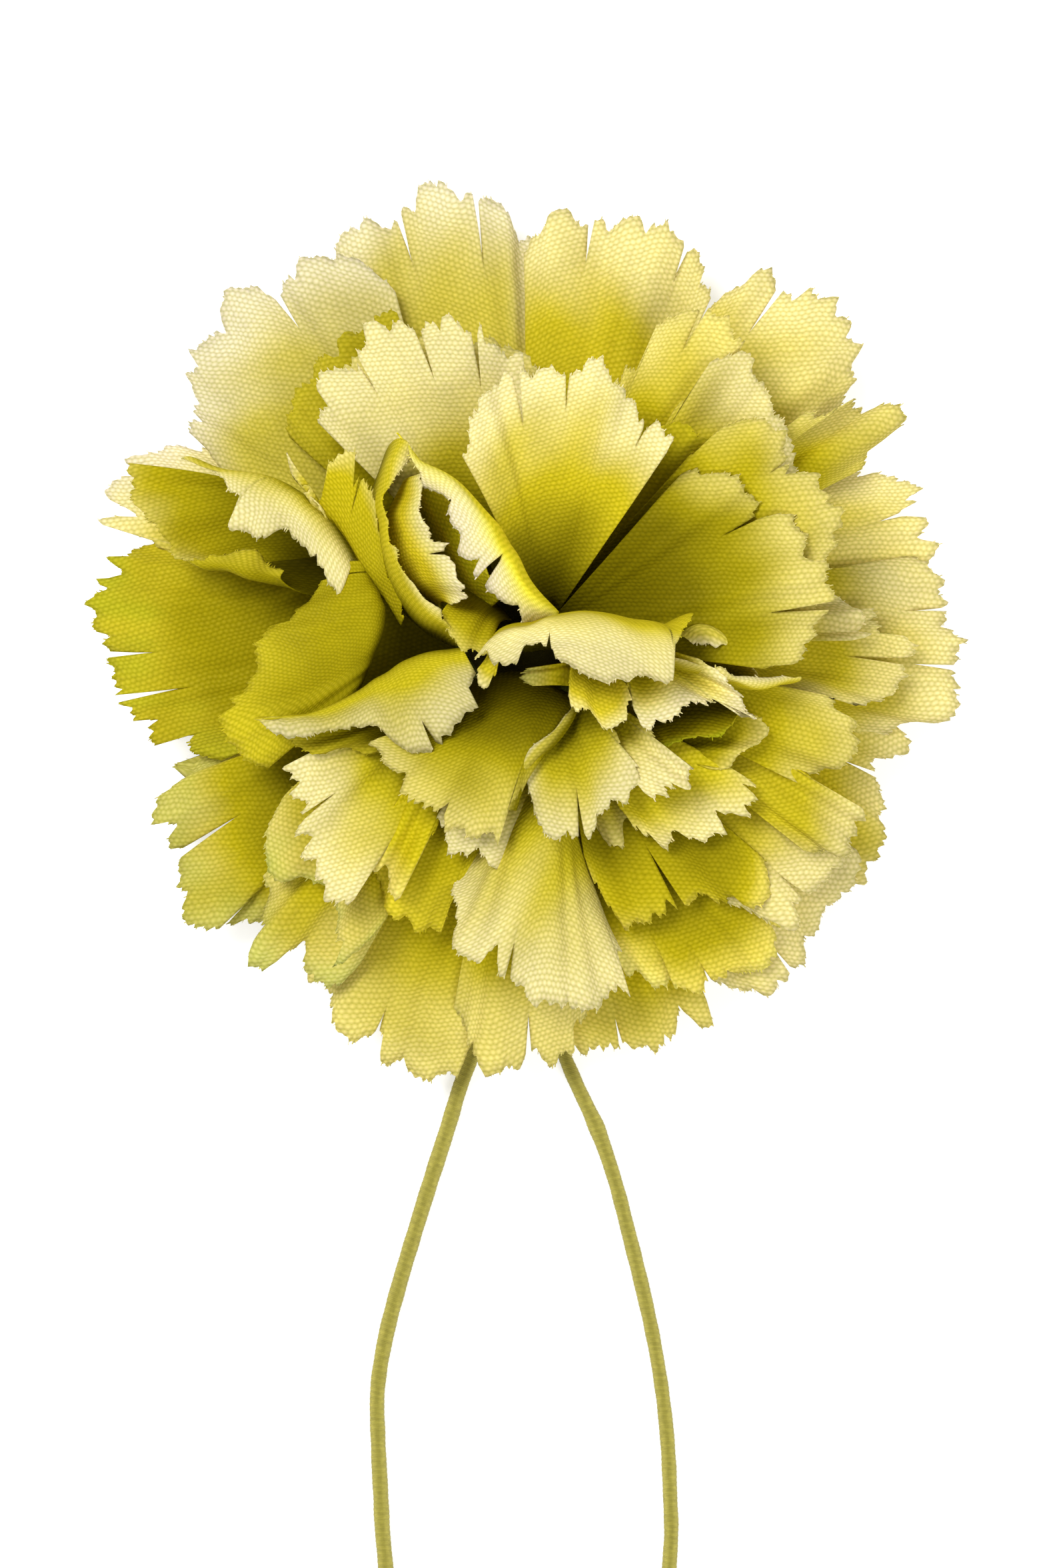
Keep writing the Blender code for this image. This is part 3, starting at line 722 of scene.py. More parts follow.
def add_cloth(name, sheets, material, seed):
    """An object of one or more sheets, standing for the CAD petal of that name."""
    vertices, faces, uvs, dyes = [], [], [], []
    flat_width = flat_length = flat_area = area = 0.0
    for k, sheet in enumerate(sheets):
        points, woven, sheet_faces, flat, dye = sheet_mesh(sheet, seed * 10 + k)
        offset = sum(len(part) for part in vertices)
        vertices.append(points)
        uvs.append(flat)
        dyes.append(dye)
        faces += [tuple(v + offset for v in face) for face in sheet_faces]
        size = flat.max(axis=0) - flat.min(axis=0)
        flat_width += size[0]
        flat_length = max(flat_length, size[1])
        flat_area += quad_area(flat, woven)
        area += quad_area(points, woven)
    mesh = bpy.data.meshes.new(name + "_cloth")
    mesh.from_pydata((np.vstack(vertices) * MM).tolist(), [], faces)
    loops = [v for face in faces for v in face]
    mesh.uv_layers.new(name="cloth").data.foreach_set("uv", np.vstack(uvs)[loops].ravel())
    attribute = mesh.color_attributes.new(name="dye", type="FLOAT_COLOR", domain="POINT")
    dyes = np.vstack(dyes)
    attribute.data.foreach_set("color", np.hstack([dyes, np.ones((len(dyes), 1))]).ravel())
    mesh.shade_smooth()
    mesh.materials.append(material)
    obj = add_object(name + "_cloth", mesh)
    solid = obj.modifiers.new("Cloth thickness", "SOLIDIFY")
    solid.thickness = CLOTH_THICKNESS * MM
    solid.offset = 0.0
    shading = obj.modifiers.new("Shade by the broad faces", "WEIGHTED_NORMAL")
    shading.mode = "FACE_AREA"
    shading.weight = 100
    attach(obj, "root")
    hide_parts(name)
    # The flat places are near enough for the weave; the cut's size comes from the cloth itself.
    true_scale = math.sqrt(area / flat_area)
    width, length = (max(side * true_scale, SMALLEST_CUT) * MM for side in (flat_width, flat_length))
    area = min(max(area * MM * MM, LEAST_FILL * width * length), width * length)


# ---------------------------------------------------------------- the petals, from the outside in
PETALS = {}


def petal(name, *sheets):
    PETALS[name] = sheets


# The outer petals, the flat skirt, clockwise from the top
petal("outer_petal_01", outer((-1, 5, 6), [
    (2.5, 29), (0.5, 31), (-0.9, 31.2), (-2, 33.2), (-3.8, 33.7), (-5.2, 33.2), (-6.1, 34.4), (-8.5, 34.4),
    (-8.9, 33), (-9.9, 33), (-10.6, 31.6), (-12, 32.2), (-13.6, 31), (-15, 28),
], 4.5, dye="pale", tone=0.93, slits=[(-3.3, 28.3), (-8.6, 28.3)]))
petal("outer_petal_02", outer((2, 5, 7), [
    (14.8, 26.5), (13.4, 27.6), (14.2, 28.6), (13.4, 30), (11.5, 30.3), (11, 31.1), (9, 30.8), (8.8, 31.7),
    (6.4, 31.1), (5.6, 32), (3.9, 31.6), (3.4, 32.5), (1.5, 31), (0, 29.5),
], 6.0, slits=[(11.6, 27.5), (4.6, 28.6)]))
petal("outer_petal_03", outer((4, 4, 6), [
    (24, 15.5), (24.3, 17.6), (25.3, 19.8), (24.6, 20.3), (25.5, 22), (24.2, 22.5), (24.8, 24.1),
    (23.4, 24.2), (23.5, 25.6), (22.2, 25.4), (21.6, 26.7), (20.3, 26), (19.2, 28), (17, 27), (14, 25),
], 5.0, slits=[(17.2, 23)]))
petal("outer_petal_04", outer((4, 2, 8), [
    (25, 12.5), (26.2, 12.8), (26.3, 13.9), (28, 15), (29.2, 16.8), (27.6, 17.5), (26.2, 17.2),
    (25.5, 17.8, 9), (24, 16.8, 10), (22, 17.3, 11),
], 7.5, dye="mid"))
petal("outer_petal_05", outer((5, 1, 6), [
    (30.3, 1.5), (30.8, 3.9), (31.2, 4.8), (30.6, 5.3), (31.4, 6.9), (30.2, 7.5), (30.6, 8.7), (29.3, 9.5),
    (30.5, 9.9), (30, 10.5), (31, 11.1), (29, 12), (26, 12.2), (24, 13.4),
], 5.0, tone=1.05, slits=[(27, 8.6)]))
petal("outer_petal_06", outer((5, 0, 7), [
    (28, -8.5), (29, -7.3), (31.8, -7), (33.3, -5.8), (32.9, -4.9), (33.4, -3.9), (33.1, -3.3),
    (33.9, -2.4), (33.2, -1.5), (34, -0.5), (33, 0), (32.3, 1.2), (32.8, 2.3), (31.8, 3), (32.2, 3.9),
    (30, 6),
], 6.0, slits=[(30, -2.4), (29.5, 1.8)]))
petal("outer_petal_07", outer((5, -2, 6), [
    (23.5, -20.5), (24.7, -19), (26.1, -19.3), (26, -18.3), (26.9, -17.8), (26.7, -16.5), (27.5, -15.9),
    (27, -14), (27.9, -13.2), (27.2, -12), (27.6, -11.2), (27, -9.7), (29.8, -8.9), (29.6, -8),
    (28.4, -6.8),
], 4.8, bleach=-0.1, slits=[(24.2, -9.6)]))
petal("outer_petal_08", outer((4, -4, 7), [
    (14.6, -27), (15.4, -26.9), (16.6, -27.9), (17.6, -27.2), (18.6, -27.7), (20, -27), (20.8, -26.2),
    (21.8, -25.1), (22, -24), (23, -23), (23.3, -21.3), (24.8, -20), (26, -17),
], 6.5, slits=[(18.6, -23.5)]))
petal("outer_petal_09", outer((2, -5, 6), [
    (2.6, -29), (3.4, -31), (4.6, -32.3), (5.8, -31.7), (7, -32.1), (8, -31.7), (9, -31.8), (10.2, -32.3),
    (10.7, -31.4), (11.8, -31.1), (12, -29.4), (11.6, -28.6), (13.4, -30.2), (14.4, -30), (13.8, -27.8),
    (13.2, -26.8), (14.5, -25.5),
], 4.6, dye="mid", bleach=-0.1, tone=1.1, slits=[(6.9, -29.5)]))
petal("outer_petal_10", outer((0, -5, 7), [
    (-5.5, -29.5), (-4.2, -30.6), (-4.2, -31.7), (-3.3, -32.3), (-2.8, -33.4), (-1.3, -33), (-0.2, -33.3),
    (0.3, -32.7), (1.5, -33.7), (2.5, -33.3), (2.7, -32.5), (3.6, -32.2), (3.6, -30.8), (4.8, -29),
], 6.2, dye="mid", slits=[(0.25, -29.4)]))
petal("outer_petal_11", outer((-2, -5, 6), [
    (-16.5, -24.5), (-17.1, -25.6), (-16.6, -26.9), (-15.6, -26.6), (-15.2, -27.3), (-14.3, -28.4),
    (-14.1, -30), (-13.9, -31.3), (-12.9, -31.5), (-12.2, -30.9), (-10.9, -31.1), (-11.4, -32.3),
    (-11.2, -33.5), (-9.6, -33.1), (-9.2, -34.1), (-7.4, -34.4), (-6.8, -33.7), (-5.2, -34), (-4.6, -32.5),
    (-3.5, -30.5),
], 4.8, dye="mid", slits=[(-10.9, -29.5)]))
petal("outer_petal_12", outer((-3, -4, 8), [
    (-20.5, -19), (-20, -21), (-20.4, -23.4), (-21.1, -25.4), (-20.1, -25.9), (-18.4, -24.6),
    (-16.8, -23.6), (-17.2, -25.4), (-15.2, -27.2), (-13, -26),
], 8.0, dye="mid", green=0.25))
petal("outer_petal_13", outer((-5, -3, 6), [
    (-24.5, -8.5), (-24.4, -11.2), (-26.6, -10.2), (-26.6, -11.6), (-28, -12.6), (-28.5, -14.9),
    (-27.2, -15.2), (-27.5, -16.8), (-26.6, -17.2), (-26.7, -19.3), (-25.7, -19.7), (-26, -22),
    (-23.5, -22.6), (-21, -22.2), (-19.5, -22),
], 4.8, dye="mid", deep=0.22, bleach=-0.12, tone=0.92, green=0.15, slits=[(-22, -14), (-20.5, -19.6)]))
petal("outer_petal_14", outer((-5, 0, 7), [
    (-26, 8.2), (-29.5, 7.1), (-30.6, 6.6), (-30.6, 5.9), (-32.4, 5.9), (-31.3, 4.4), (-33.3, 4.1),
    (-32.4, 3.2), (-34, 2.2), (-32.8, 1.4), (-33.8, 0.2), (-32.2, -0.4), (-32.7, -1.2), (-32.3, -2.2),
    (-31.3, -2.5), (-31.9, -3.3), (-31.7, -4.2), (-31.9, -5.2), (-30.7, -5.5), (-30.3, -6.6), (-28.6, -6.4),
    (-28.9, -7.3), (-28.3, -8.3), (-26, -7.6), (-25.7, -9.2), (-24, -10),
], 6.4, dye="deep", deep=-0.1, tone=1.08, green=0.2, slits=[(-28.7, -1.5), (-26.3, -4.2)]))
petal("outer_petal_15", outer((-5, 2, 6), [
    (-20, 14.5), (-26.5, 14.2), (-29.5, 13.6), (-31, 13.3), (-30.4, 12.4), (-32.5, 11.3), (-32.2, 10.3),
    (-31, 9.8), (-30.4, 9.3), (-32.8, 8.6), (-31.5, 8), (-28.5, 7.4), (-26, 6),
], 4.8, dye="pale", tone=1.05))
petal("outer_petal_16", outer((-4, 4, 7), [
    (-10.5, 26.5), (-11.8, 27.3), (-13, 28.4), (-14.8, 28.9), (-16.1, 28.3), (-17.5, 28), (-19.2, 25.9),
    (-20.3, 26.7), (-22.9, 26.5), (-24, 24), (-26, 22), (-25.2, 20.6), (-26.4, 20.2), (-25, 17.8),
    (-26.3, 15.4), (-25, 14.5), (-24, 13),
], 6.0, rise=4.0, dye="pale", tone=0.9, slits=[(-17.4, 23.5)]))

# The middle petals, over the skirt
petal("middle_petal_01", fan((-1.5, 3, 11), [
    (1, 19), (-0.3, 20.4), (-0.4, 21.7), (-1.2, 21.3), (-2, 21.9), (-2.9, 22.5), (-3.4, 22.8), (-3.7, 23.7),
    (-4.4, 23.2), (-5.8, 24.4), (-6.5, 23.8), (-7.9, 24), (-8.5, 23.5), (-9.8, 24.2), (-10.5, 23.4),
    (-11.5, 24), (-12.5, 23.8), (-12.2, 22.2), (-13.3, 21.8), (-12.9, 20.6), (-14.2, 20.4), (-15.5, 20),
    (-16, 19), (-15.2, 17.6), (-16.2, 16.5),
], 16.5, 3.0, dye="cream", bleach=0.25, slits=[(-3.4, 19), (-6.9, 19.4), (-11.5, 18.6)], lift=0.4))
petal("middle_petal_02", fan((-3, 3, 9), [
    (-10, 25), (-11.5, 24.8), (-12.3, 23.4), (-13.8, 23), (-14.6, 21.4), (-16.2, 21), (-16.6, 19.4),
    (-18, 18.8), (-17.8, 17.3), (-18.6, 15.5),
], 11.5, 3.0, dye="deep", deep=0.1))
petal("middle_petal_03", fan((-1.5, 4, 8), [
    (1.6, 19), (0.5, 21.2), (-0.8, 22), (-2.6, 22.8), (-4, 22), (-8, 23), (-12, 22), (-15.5, 19),
], 13.0, 3.0))
petal("middle_petal_04", fan((3, 4, 8), [
    (18, 17.5), (16, 19.5), (16, 21.3), (16.2, 22.3), (15.5, 23), (15.4, 24.2), (14.4, 24.2), (13.7, 25.2),
    (12.5, 25), (11.2, 24.7), (10.6, 24), (9.6, 23.6), (9, 22.5), (8.7, 20.5), (6.5, 19.5),
], 12.5, 3.5, deep=0.12, tone=1.1, slits=[(12, 21.5)]))
petal("middle_petal_05", fan((4, 3, 9), [
    (21.5, 12.5), (20.5, 15.5), (19.6, 17), (18.8, 18.6), (18.2, 19.8), (17.6, 21.7), (16.2, 21.6),
    (15, 21), (13.6, 20.6), (12.5, 18),
], 14.0, 3.0, dye="outer"))
petal("middle_petal_06", fan((2.5, 1.2, 13), [
    (22.5, 1.8), (22.8, 3.4), (23.3, 4.6), (23, 6), (23.8, 6.8), (23.5, 7.8), (24.3, 8.3), (23.8, 9.5),
    (22.7, 10.1), (23.5, 10.5), (22.2, 11.3), (22.5, 12.2), (21.9, 12.8), (20.4, 12.6), (20.7, 13.6),
    (19.9, 14.3), (20.5, 15.6), (19.3, 15.3), (18.4, 16.1), (17, 16.4), (15.4, 16), (14.3, 15.1),
    (13.2, 14),
], 18.8, 3.0, deep=0.22, bleach=-0.08, slits=[(19.2, 12.4)]))
petal("middle_petal_07", fan((2.5, 0.2, 14), [
    (17.2, -2.4), (18.2, -2.9), (19.6, -3), (20.1, -2.3), (21, -2.7), (21.7, -2), (21.9, -0.8), (23, -0.2),
    (22.7, 0.8), (23.8, 2), (22.8, 3.6), (22.6, 5.4), (21.3, 6.3), (21.6, 7.4), (20.8, 8), (20.4, 9.4),
    (18.6, 9.2), (18.3, 10.2), (17, 10.8), (16.4, 11.8), (15, 12.4), (13.6, 12.8), (12.6, 12.9),
], 19.8, 3.2, deep=0.35, bleach=-0.06, slits=[(15.4, 7.6), (19, 1.6)]))
petal(
    "middle_petal_08",
    fan((5, 0, 8), [
        (19.5, -6), (21.4, -4.8), (23.8, -4.2), (24.8, -3.6), (26.3, -4.7), (28.2, -4.4), (29.5, -3.3),
        (30.4, -2), (30.2, -0.9), (29, 0), (27.2, -0.2), (27.5, 2),
    ], 10.0, 2.5, dye="outer", bleach=-0.08, tone=1.06, slits=[(24.8, -1.8)]),
    fan((6, 0, 9), [
        (22.6, -0.4), (24, -0.6), (25.5, -0.8), (26.8, -0.3), (25.9, 0.3), (26.1, 1), (24.6, 2.6),
        (22.6, 3.6),
    ], 12.5, 2.5, dye="outer"))
petal(
    "middle_petal_09",
    fan((4, -2, 9), [
        (22, -17), (23.5, -16.8), (24.8, -17), (24.9, -16), (25.8, -15.5), (26.3, -14), (25.6, -12.9),
        (24, -12.3), (22.2, -11.4),
    ], 13.0, 3.0, dye="outer", bleach=-0.12, tone=0.95),
    fan((4, -2, 10), [
        (21.5, -11.8), (22.6, -11), (24.6, -10), (25.9, -8.5), (25.3, -7.6), (25.8, -6.8), (24, -6),
        (23.4, -4.9), (21.5, -4.6),
    ], 14.5, 3.0, bleach=-0.12, tone=1.05))
petal("middle_petal_10", fan((3, -4, 8), [
    (14.5, -20), (17.6, -21.2), (19.2, -21.5), (20, -22.3), (20.8, -22.2), (21.2, -21), (22.5, -20.3),
    (22.8, -19.4), (23.8, -19.2), (24.6, -17.4), (25.5, -15),
], 11.0, 3.0, dye="outer", slits=[(19.6, -18.5)]))
petal("middle_petal_11", fan((3, -5, 9), [
    (5, -18), (6.9, -21.3), (7.8, -22.7), (8.8, -21.7), (10, -21.9), (10.8, -22), (11.1, -20.2),
    (12.2, -21.3), (13, -20.2), (13.8, -20.2), (14.9, -21.3), (15.8, -20), (16.5, -20.7), (17.3, -21.2),
    (18.4, -20.5), (18.5, -17.5),
], 12.5, 3.0, deep=0.46, bleach=-0.2, tone=1.35, slits=[(9.3, -16.4)], lift=0.2))
petal("middle_petal_12", fan((2, -5, 8), [
    (5.5, -23.5), (7.2, -25.3), (7.8, -26.7), (9, -26.6), (10.3, -27.3), (11.2, -27.2), (12, -27),
    (13.3, -28), (14, -27), (16, -27.1), (17, -26.2), (18.8, -25.7), (19.1, -23.2), (20.4, -22),
], 9.0, 3.0, deep=0.46, bleach=-0.16, tone=1.4, slits=[(10.4, -24.6), (13.6, -25.6)]))
petal("middle_petal_13", Sheet([
    [(0.2, -7, 12), (1.3, -7, 12.5), (2.2, -7, 12)],
    [(-4.5, -15.5, 12), (-1, -16, 17), (1.8, -15.8, 17.5), (4, -17, 15), (4.5, -17.5, 11)],
    [(-4.8, -16.6, 13.5), (-6.2, -20, 14), (-5.6, -24.6, 14.5), (-2.6, -26.8, 15.5), (0.2, -29.2, 15.3),
     (3, -30.2, 14.8), (6.2, -29.6, 13.5), (8.2, -27.4, 11.5), (6.7, -25, 9)],
], [
    (-4.9, -17.2), (-5.4, -18.5), (-5.6, -20), (-5.1, -21), (-5.5, -22), (-5.3, -23.6), (-4.2, -24.8),
    (-3.2, -25.4), (-2, -24.8), (-1.8, -26.5), (-0.4, -27.5), (0.3, -28.7), (1.2, -29.4), (2.2, -28.4),
    (2.8, -29.4), (3.4, -28.5), (4.8, -29.6), (6.1, -28.2), (6.9, -27.2), (7.6, -27.9), (7.7, -26.6),
    (6.7, -25.2),
], dye="cream", bleach=0.15, slits=[(-0.9, -23.6)], lift=0.3))
petal("middle_petal_14", fan((-4, -4, 11), [
    (-10.4, -16), (-11.1, -19), (-11.8, -20.9), (-12.6, -21.2), (-14, -20.6), (-15.2, -20.5),
    (-15.3, -19.2), (-16.1, -18.8), (-16.2, -17.5), (-17.6, -17.3), (-16.9, -16), (-17.7, -15.4),
    (-17.3, -14.2), (-16.6, -13.3), (-18.2, -12.6), (-17.5, -11.7), (-18.8, -10.4), (-17.5, -9.6),
    (-15.8, -9.2), (-12, -8.2),
], 16.0, 2.5, dye="cream", bleach=0.08, slits=[(-14.6, -12.3)], lift=0.35))
petal(
    "middle_petal_15",
    fan((-2, -5, 10), [
        (-4, -20), (-5.6, -20.8), (-5.9, -22.4), (-6.3, -23.3), (-7.6, -22.9), (-8.4, -23.3), (-9, -21.8),
        (-10.1, -21.9), (-10.5, -20.4), (-11.8, -18.5), (-12.5, -17),
    ], 12.5, 3.0, dye="deep", deep=0.15, tone=1.3),
    fan((-3.5, -5, 12), [
        (-7.4, -15.6), (-8.2, -17.5), (-8.5, -19.3), (-9.4, -20.4), (-10.3, -19.9), (-10.9, -18.9),
        (-11.8, -18.4), (-12.2, -16.5),
    ], 15.2, 2.6, deep=0.1, bleach=-0.12, tone=1.2, lift=0.2))
petal("middle_petal_16", fan((-5, -6, 9), [
    (-11, -22.5), (-12.2, -23.6), (-13.6, -24.9), (-14.7, -25.4), (-13.9, -23.8), (-14.6, -22.6),
    (-14.7, -20.8), (-17, -19), (-19.4, -18.6), (-19.9, -17.4), (-20.2, -15.6), (-18.5, -12),
], 11.5, 2.0, green=0.35))

# The inner petals, standing round the bud
petal("inner_petal_01", fan((2, 1.6, 14), [
    (10.2, 13), (11.2, 14), (11.7, 15.3), (10.8, 15.4), (10.3, 16.6), (9.6, 16.2), (9, 17.3), (8.9, 18.4),
    (7.9, 18.1), (7.6, 18.9), (6.7, 19.3), (6.3, 20.9), (5.9, 21.7), (5.3, 20.9), (4.7, 21.5), (4.4, 20.3),
    (3.4, 20.4), (2.6, 20.1), (1.9, 20.9), (1.3, 20.8), (0.3, 19.7), (-0.3, 20.3), (-1.3, 20.4),
    (-1.8, 19.6), (-2.5, 18.9), (-3.5, 18.3), (-3.7, 17.4), (-4.4, 16.7), (-4.4, 15.3), (-5, 14),
], 23.5, 2.4, width=1.0, dye="cream", deep=-0.1, bleach=0.14, tone=1.06,
    slits=[(8.4, 14.2), (3.1, 17.2), (-0.1, 15.9)], lift=0.4))
petal("inner_petal_02", fan((2.6, 2.2, 14), [
    (14.8, 13.6), (14, 15), (12.6, 16), (11, 16), (9, 16),
], 18.6, -0.6, width=1.0, dye="olive", tone=1.1, teeth=0.5))
petal("inner_petal_03", Sheet([
    [(-12.8, 4, 12), (-11.9, 0.5, 12), (-13.4, -3.6, 12)],
    [(-12.2, 5.6, 20), (-11, 1, 22), (-12.6, -4.2, 20)],
    [(-14, 5.8, 20), (-15.5, -1, 20), (-16.5, -7.6, 17)],
    [(-15.2, 5.8, 17), (-18.8, 1.8, 15.5), (-21.6, -1.2, 14), (-22.8, -4.2, 13.5), (-24.3, -7, 13),
     (-20.5, -11, 13)],
], [
    (-12.4, 5.1), (-13.4, 5.6), (-14.2, 5.1), (-14.6, 4.3), (-16, 4.4), (-16.7, 3.5), (-17.2, 2.4),
    (-18.1, 1), (-18.4, 0.4), (-19.4, 0.7), (-20, -0.5), (-21, -0.8), (-20.6, -2.6), (-21.5, -3.5),
    (-22, -4.6), (-23, -5), (-22.3, -5.6), (-23.6, -6.4), (-23.6, -7.2), (-22, -8.8), (-21.4, -9.6),
    (-20.6, -9.8),
], dye="olive", tone=1.35, teeth=0.8))
petal(
    "inner_petal_04",
    Sheet([
        [(-4.4, -2.4, 15), (-8, -3.6, 15), (-12, -5.6, 15), (-18, -7, 15)],
        [(-4.8, -1.2, 24), (-8, -2, 24.2), (-12, -4.2, 23), (-16, -6, 21), (-20.5, -6.4, 19)],
        [(-3, -4.6, 21.5), (-4.2, -7.2, 21), (-6.2, -9.4, 20.5), (-9.5, -8.8, 20), (-12, -7.4, 19.6),
         (-15, -7.3, 19), (-20.4, -7.4, 18)],
    ], [
        (-4.4, -4.2), (-3.3, -4.7), (-3.7, -5.4), (-4.9, -6), (-5, -6.9), (-5.7, -7.7), (-6.5, -8),
        (-6.4, -8.8), (-7, -9.1), (-8.5, -8.8), (-9.8, -8), (-11.3, -7), (-13, -6.7), (-15, -6.8),
        (-17, -7.2), (-19, -7.3), (-20.4, -6.8),
    ], dye="cream", tone=0.92, slits=[(-7.7, -7)], teeth=0.4, wave=(0.3, 1.5, 0.0)),
    fan((-6, -5, 16), [
        (-11, -8.8), (-12.5, -8.9), (-15, -9.1), (-17.6, -8.8), (-19.2, -7.6),
    ], 17.0, 1.0, dye="deep", teeth=0.6))
petal(
    "inner_petal_05",
    Sheet([
        [(-4, -3.5, 14), (0, -3, 15), (4, -5, 15.5)],
        [(-8.2, -6.8, 20), (-4, -8, 21), (0, -8.5, 20.8), (2, -8.3, 20)],
        [(-12.6, -8.2, 19), (-11.6, -10.8, 19), (-10.4, -12.8, 19.5), (-8.2, -14.4, 20), (-7.4, -15.6, 20),
         (-4, -16.8, 19.5), (-1.6, -15.6, 19), (-0.8, -13.4, 18.5)],
    ], [
        (-11.7, -7.5), (-12.4, -8.5), (-11.4, -9), (-11.3, -9.7), (-10.4, -10.6), (-9.4, -11), (-9.6, -12),
        (-9, -12.8), (-8, -13.3), (-7.2, -13.7), (-5.9, -13.3), (-6.6, -14.8), (-6, -15.7), (-5, -15.3),
        (-4.4, -15.9), (-3.7, -16.3), (-2.6, -15.4), (-1.1, -14.8), (-1.3, -13),
    ], deep=0.2, bleach=0.05),
    Sheet([
        [(-0.7, -13.6, 18.4), (0.1, -11.4, 19.4), (1.3, -9.6, 19.8), (2.7, -8.1, 19.4), (3.7, -6.6, 18.2),
         (4.3, -5, 16.2)],
        [(-1.3, -13.5, 19.6), (-0.5, -11.2, 20.6), (0.8, -9.3, 20.9), (2.3, -7.8, 20.3), (3.4, -6.4, 18.9),
         (4.1, -4.9, 16.9)],
        [(-2.1, -13.3, 19.5), (-1.3, -10.9, 20.5), (0.2, -8.8, 20.8), (1.9, -7.4, 20.2), (3.1, -6.1, 18.7),
         (3.9, -4.8, 16.7)],
    ], [
        (-1.9, -13.3), (-1.1, -10.9), (0.3, -8.9), (2, -7.5), (3.2, -6.1), (3.95, -4.8),
    ], dye="pale", tone=0.85, green=0.1, teeth=0.1, wave=(0.05, 1.0, 0.0)))
petal("inner_petal_06", fan((-1, -6, 12), [
    (-7, -14.5), (-6.2, -15.8), (-5.8, -17.3), (-5, -16.8), (-4.2, -17.3), (-3.6, -16.3), (-3.1, -17.3),
    (-2, -18.3), (-1.4, -17.3), (-0.3, -18.4), (0.2, -17.6), (0.2, -16.5), (1.3, -16.8), (1.5, -15.9),
    (1, -14.6), (1.8, -13.2),
], 16.5, 2.0, dye="cream", bleach=0.2))
petal("inner_petal_07", fan((3.2, -5, 15), [
    (0, -11.2), (0.3, -13.2), (1, -14.3), (1.8, -15.4), (3.2, -15.9), (3.8, -15.5), (4.6, -16.1),
    (5.3, -15), (5.4, -14.3), (6.4, -13.6), (7.3, -13.2), (7.8, -12.4), (7.6, -11.9), (8.7, -11.7),
    (8.8, -10.9), (8.4, -10.2), (9.1, -9.8), (8.5, -9.2), (7.3, -8.6),
], 19.0, 2.2, width=2.0, dye="cream", bleach=0.15, tone=0.95, slits=[(3.9, -12)], lift=0.12))
petal("inner_petal_08", fan((4.5, -5, 15), [
    (8.5, -11), (8.8, -12), (9.5, -12.7), (10.3, -13.1), (11.3, -12.5), (12.2, -12.3), (12.9, -12),
    (12.6, -11), (13.7, -10.5), (13, -9.8), (12.6, -9.3), (11, -9), (10, -8.2),
], 19.8, 1.5, dye="cream", bleach=0.25, teeth=1.5))
petal(
    "inner_petal_09",
    fan((4, -5, 12), [
        (8, -14.5), (8.6, -15.3), (8.9, -16), (10.1, -15.9), (10.3, -16.7), (11, -16.7), (11.3, -15.4),
        (12, -15.2), (12.7, -15.8), (13.4, -16.3), (14.3, -15.2), (15.1, -15.8), (15.7, -15.5), (16, -14.5),
        (17, -14), (17.3, -13.2), (18.1, -12.5), (17.9, -11.8), (17, -11), (15.8, -10.4),
    ], 15.5, 2.2, dye="cream", bleach=-0.06, tone=1.05, teeth=1.6),
    fan((4, -6, 11), [
        (4.8, -14.6), (5.5, -15.8), (6.3, -16.5), (7.1, -16.2), (7.5, -16.6), (7.7, -15.9), (8.8, -15.7),
        (9.6, -15.2), (10, -13.5),
    ], 14.0, 2.0))
petal("inner_petal_10", fan((4.5, -1.5, 19), [
    (3.4, -2.9), (3.4, -4), (3.5, -5.5), (4.1, -6), (5, -6), (5.5, -6.7), (6.3, -7.6), (7.1, -7.3),
    (7.8, -6.8), (8.2, -5.8), (8.1, -4.4),
], 22.5, 1.2, dye="outer", bleach=0.05, tone=1.15))
petal("inner_petal_11", fan((8.5, -1.2, 19), [
    (8.2, -4.5), (8.3, -5.6), (8.8, -7), (9.6, -7.8), (10.4, -7.2), (11.3, -6.9), (12, -6), (13, -5.4),
    (14, -5.6), (14.7, -4.8), (15.6, -5.1), (16.3, -5.7), (17.5, -7.3, 18.5), (17.2, -6, 19.5),
    (16.4, -4.4), (15.4, -3.2), (14, -2.3),
], 22.0, 1.2, dye="cream", bleach=0.25, tone=1.18))
petal(
    "inner_petal_12",
    Sheet([
        [(8.6, -7, 15), (12.6, -5, 16.5), (16.4, -5, 16.5)],
        [(9.8, -8.8, 18.4), (12.6, -8.6, 19), (15.2, -8, 19), (16.8, -6.2, 18.4)],
    ], [
        (10.1, -8.8), (11.2, -8.5), (12.5, -8.3), (14, -8.1), (15, -8), (15.6, -7.3), (16.4, -6.6),
    ], dye="olive", deep=0.1, green=0.3, teeth=0.5, wave=(0.1, 1.0, 0.0)),
    fan((9.6, -8.4, 14.5), [
        (14.6, -10.4), (15.6, -10), (17, -9.3), (17.7, -8.6), (18.8, -7.1), (18.6, -6.4), (17.2, -6),
    ], 17.4, 0.2, width=1.2, deep=0.2, teeth=0.5))
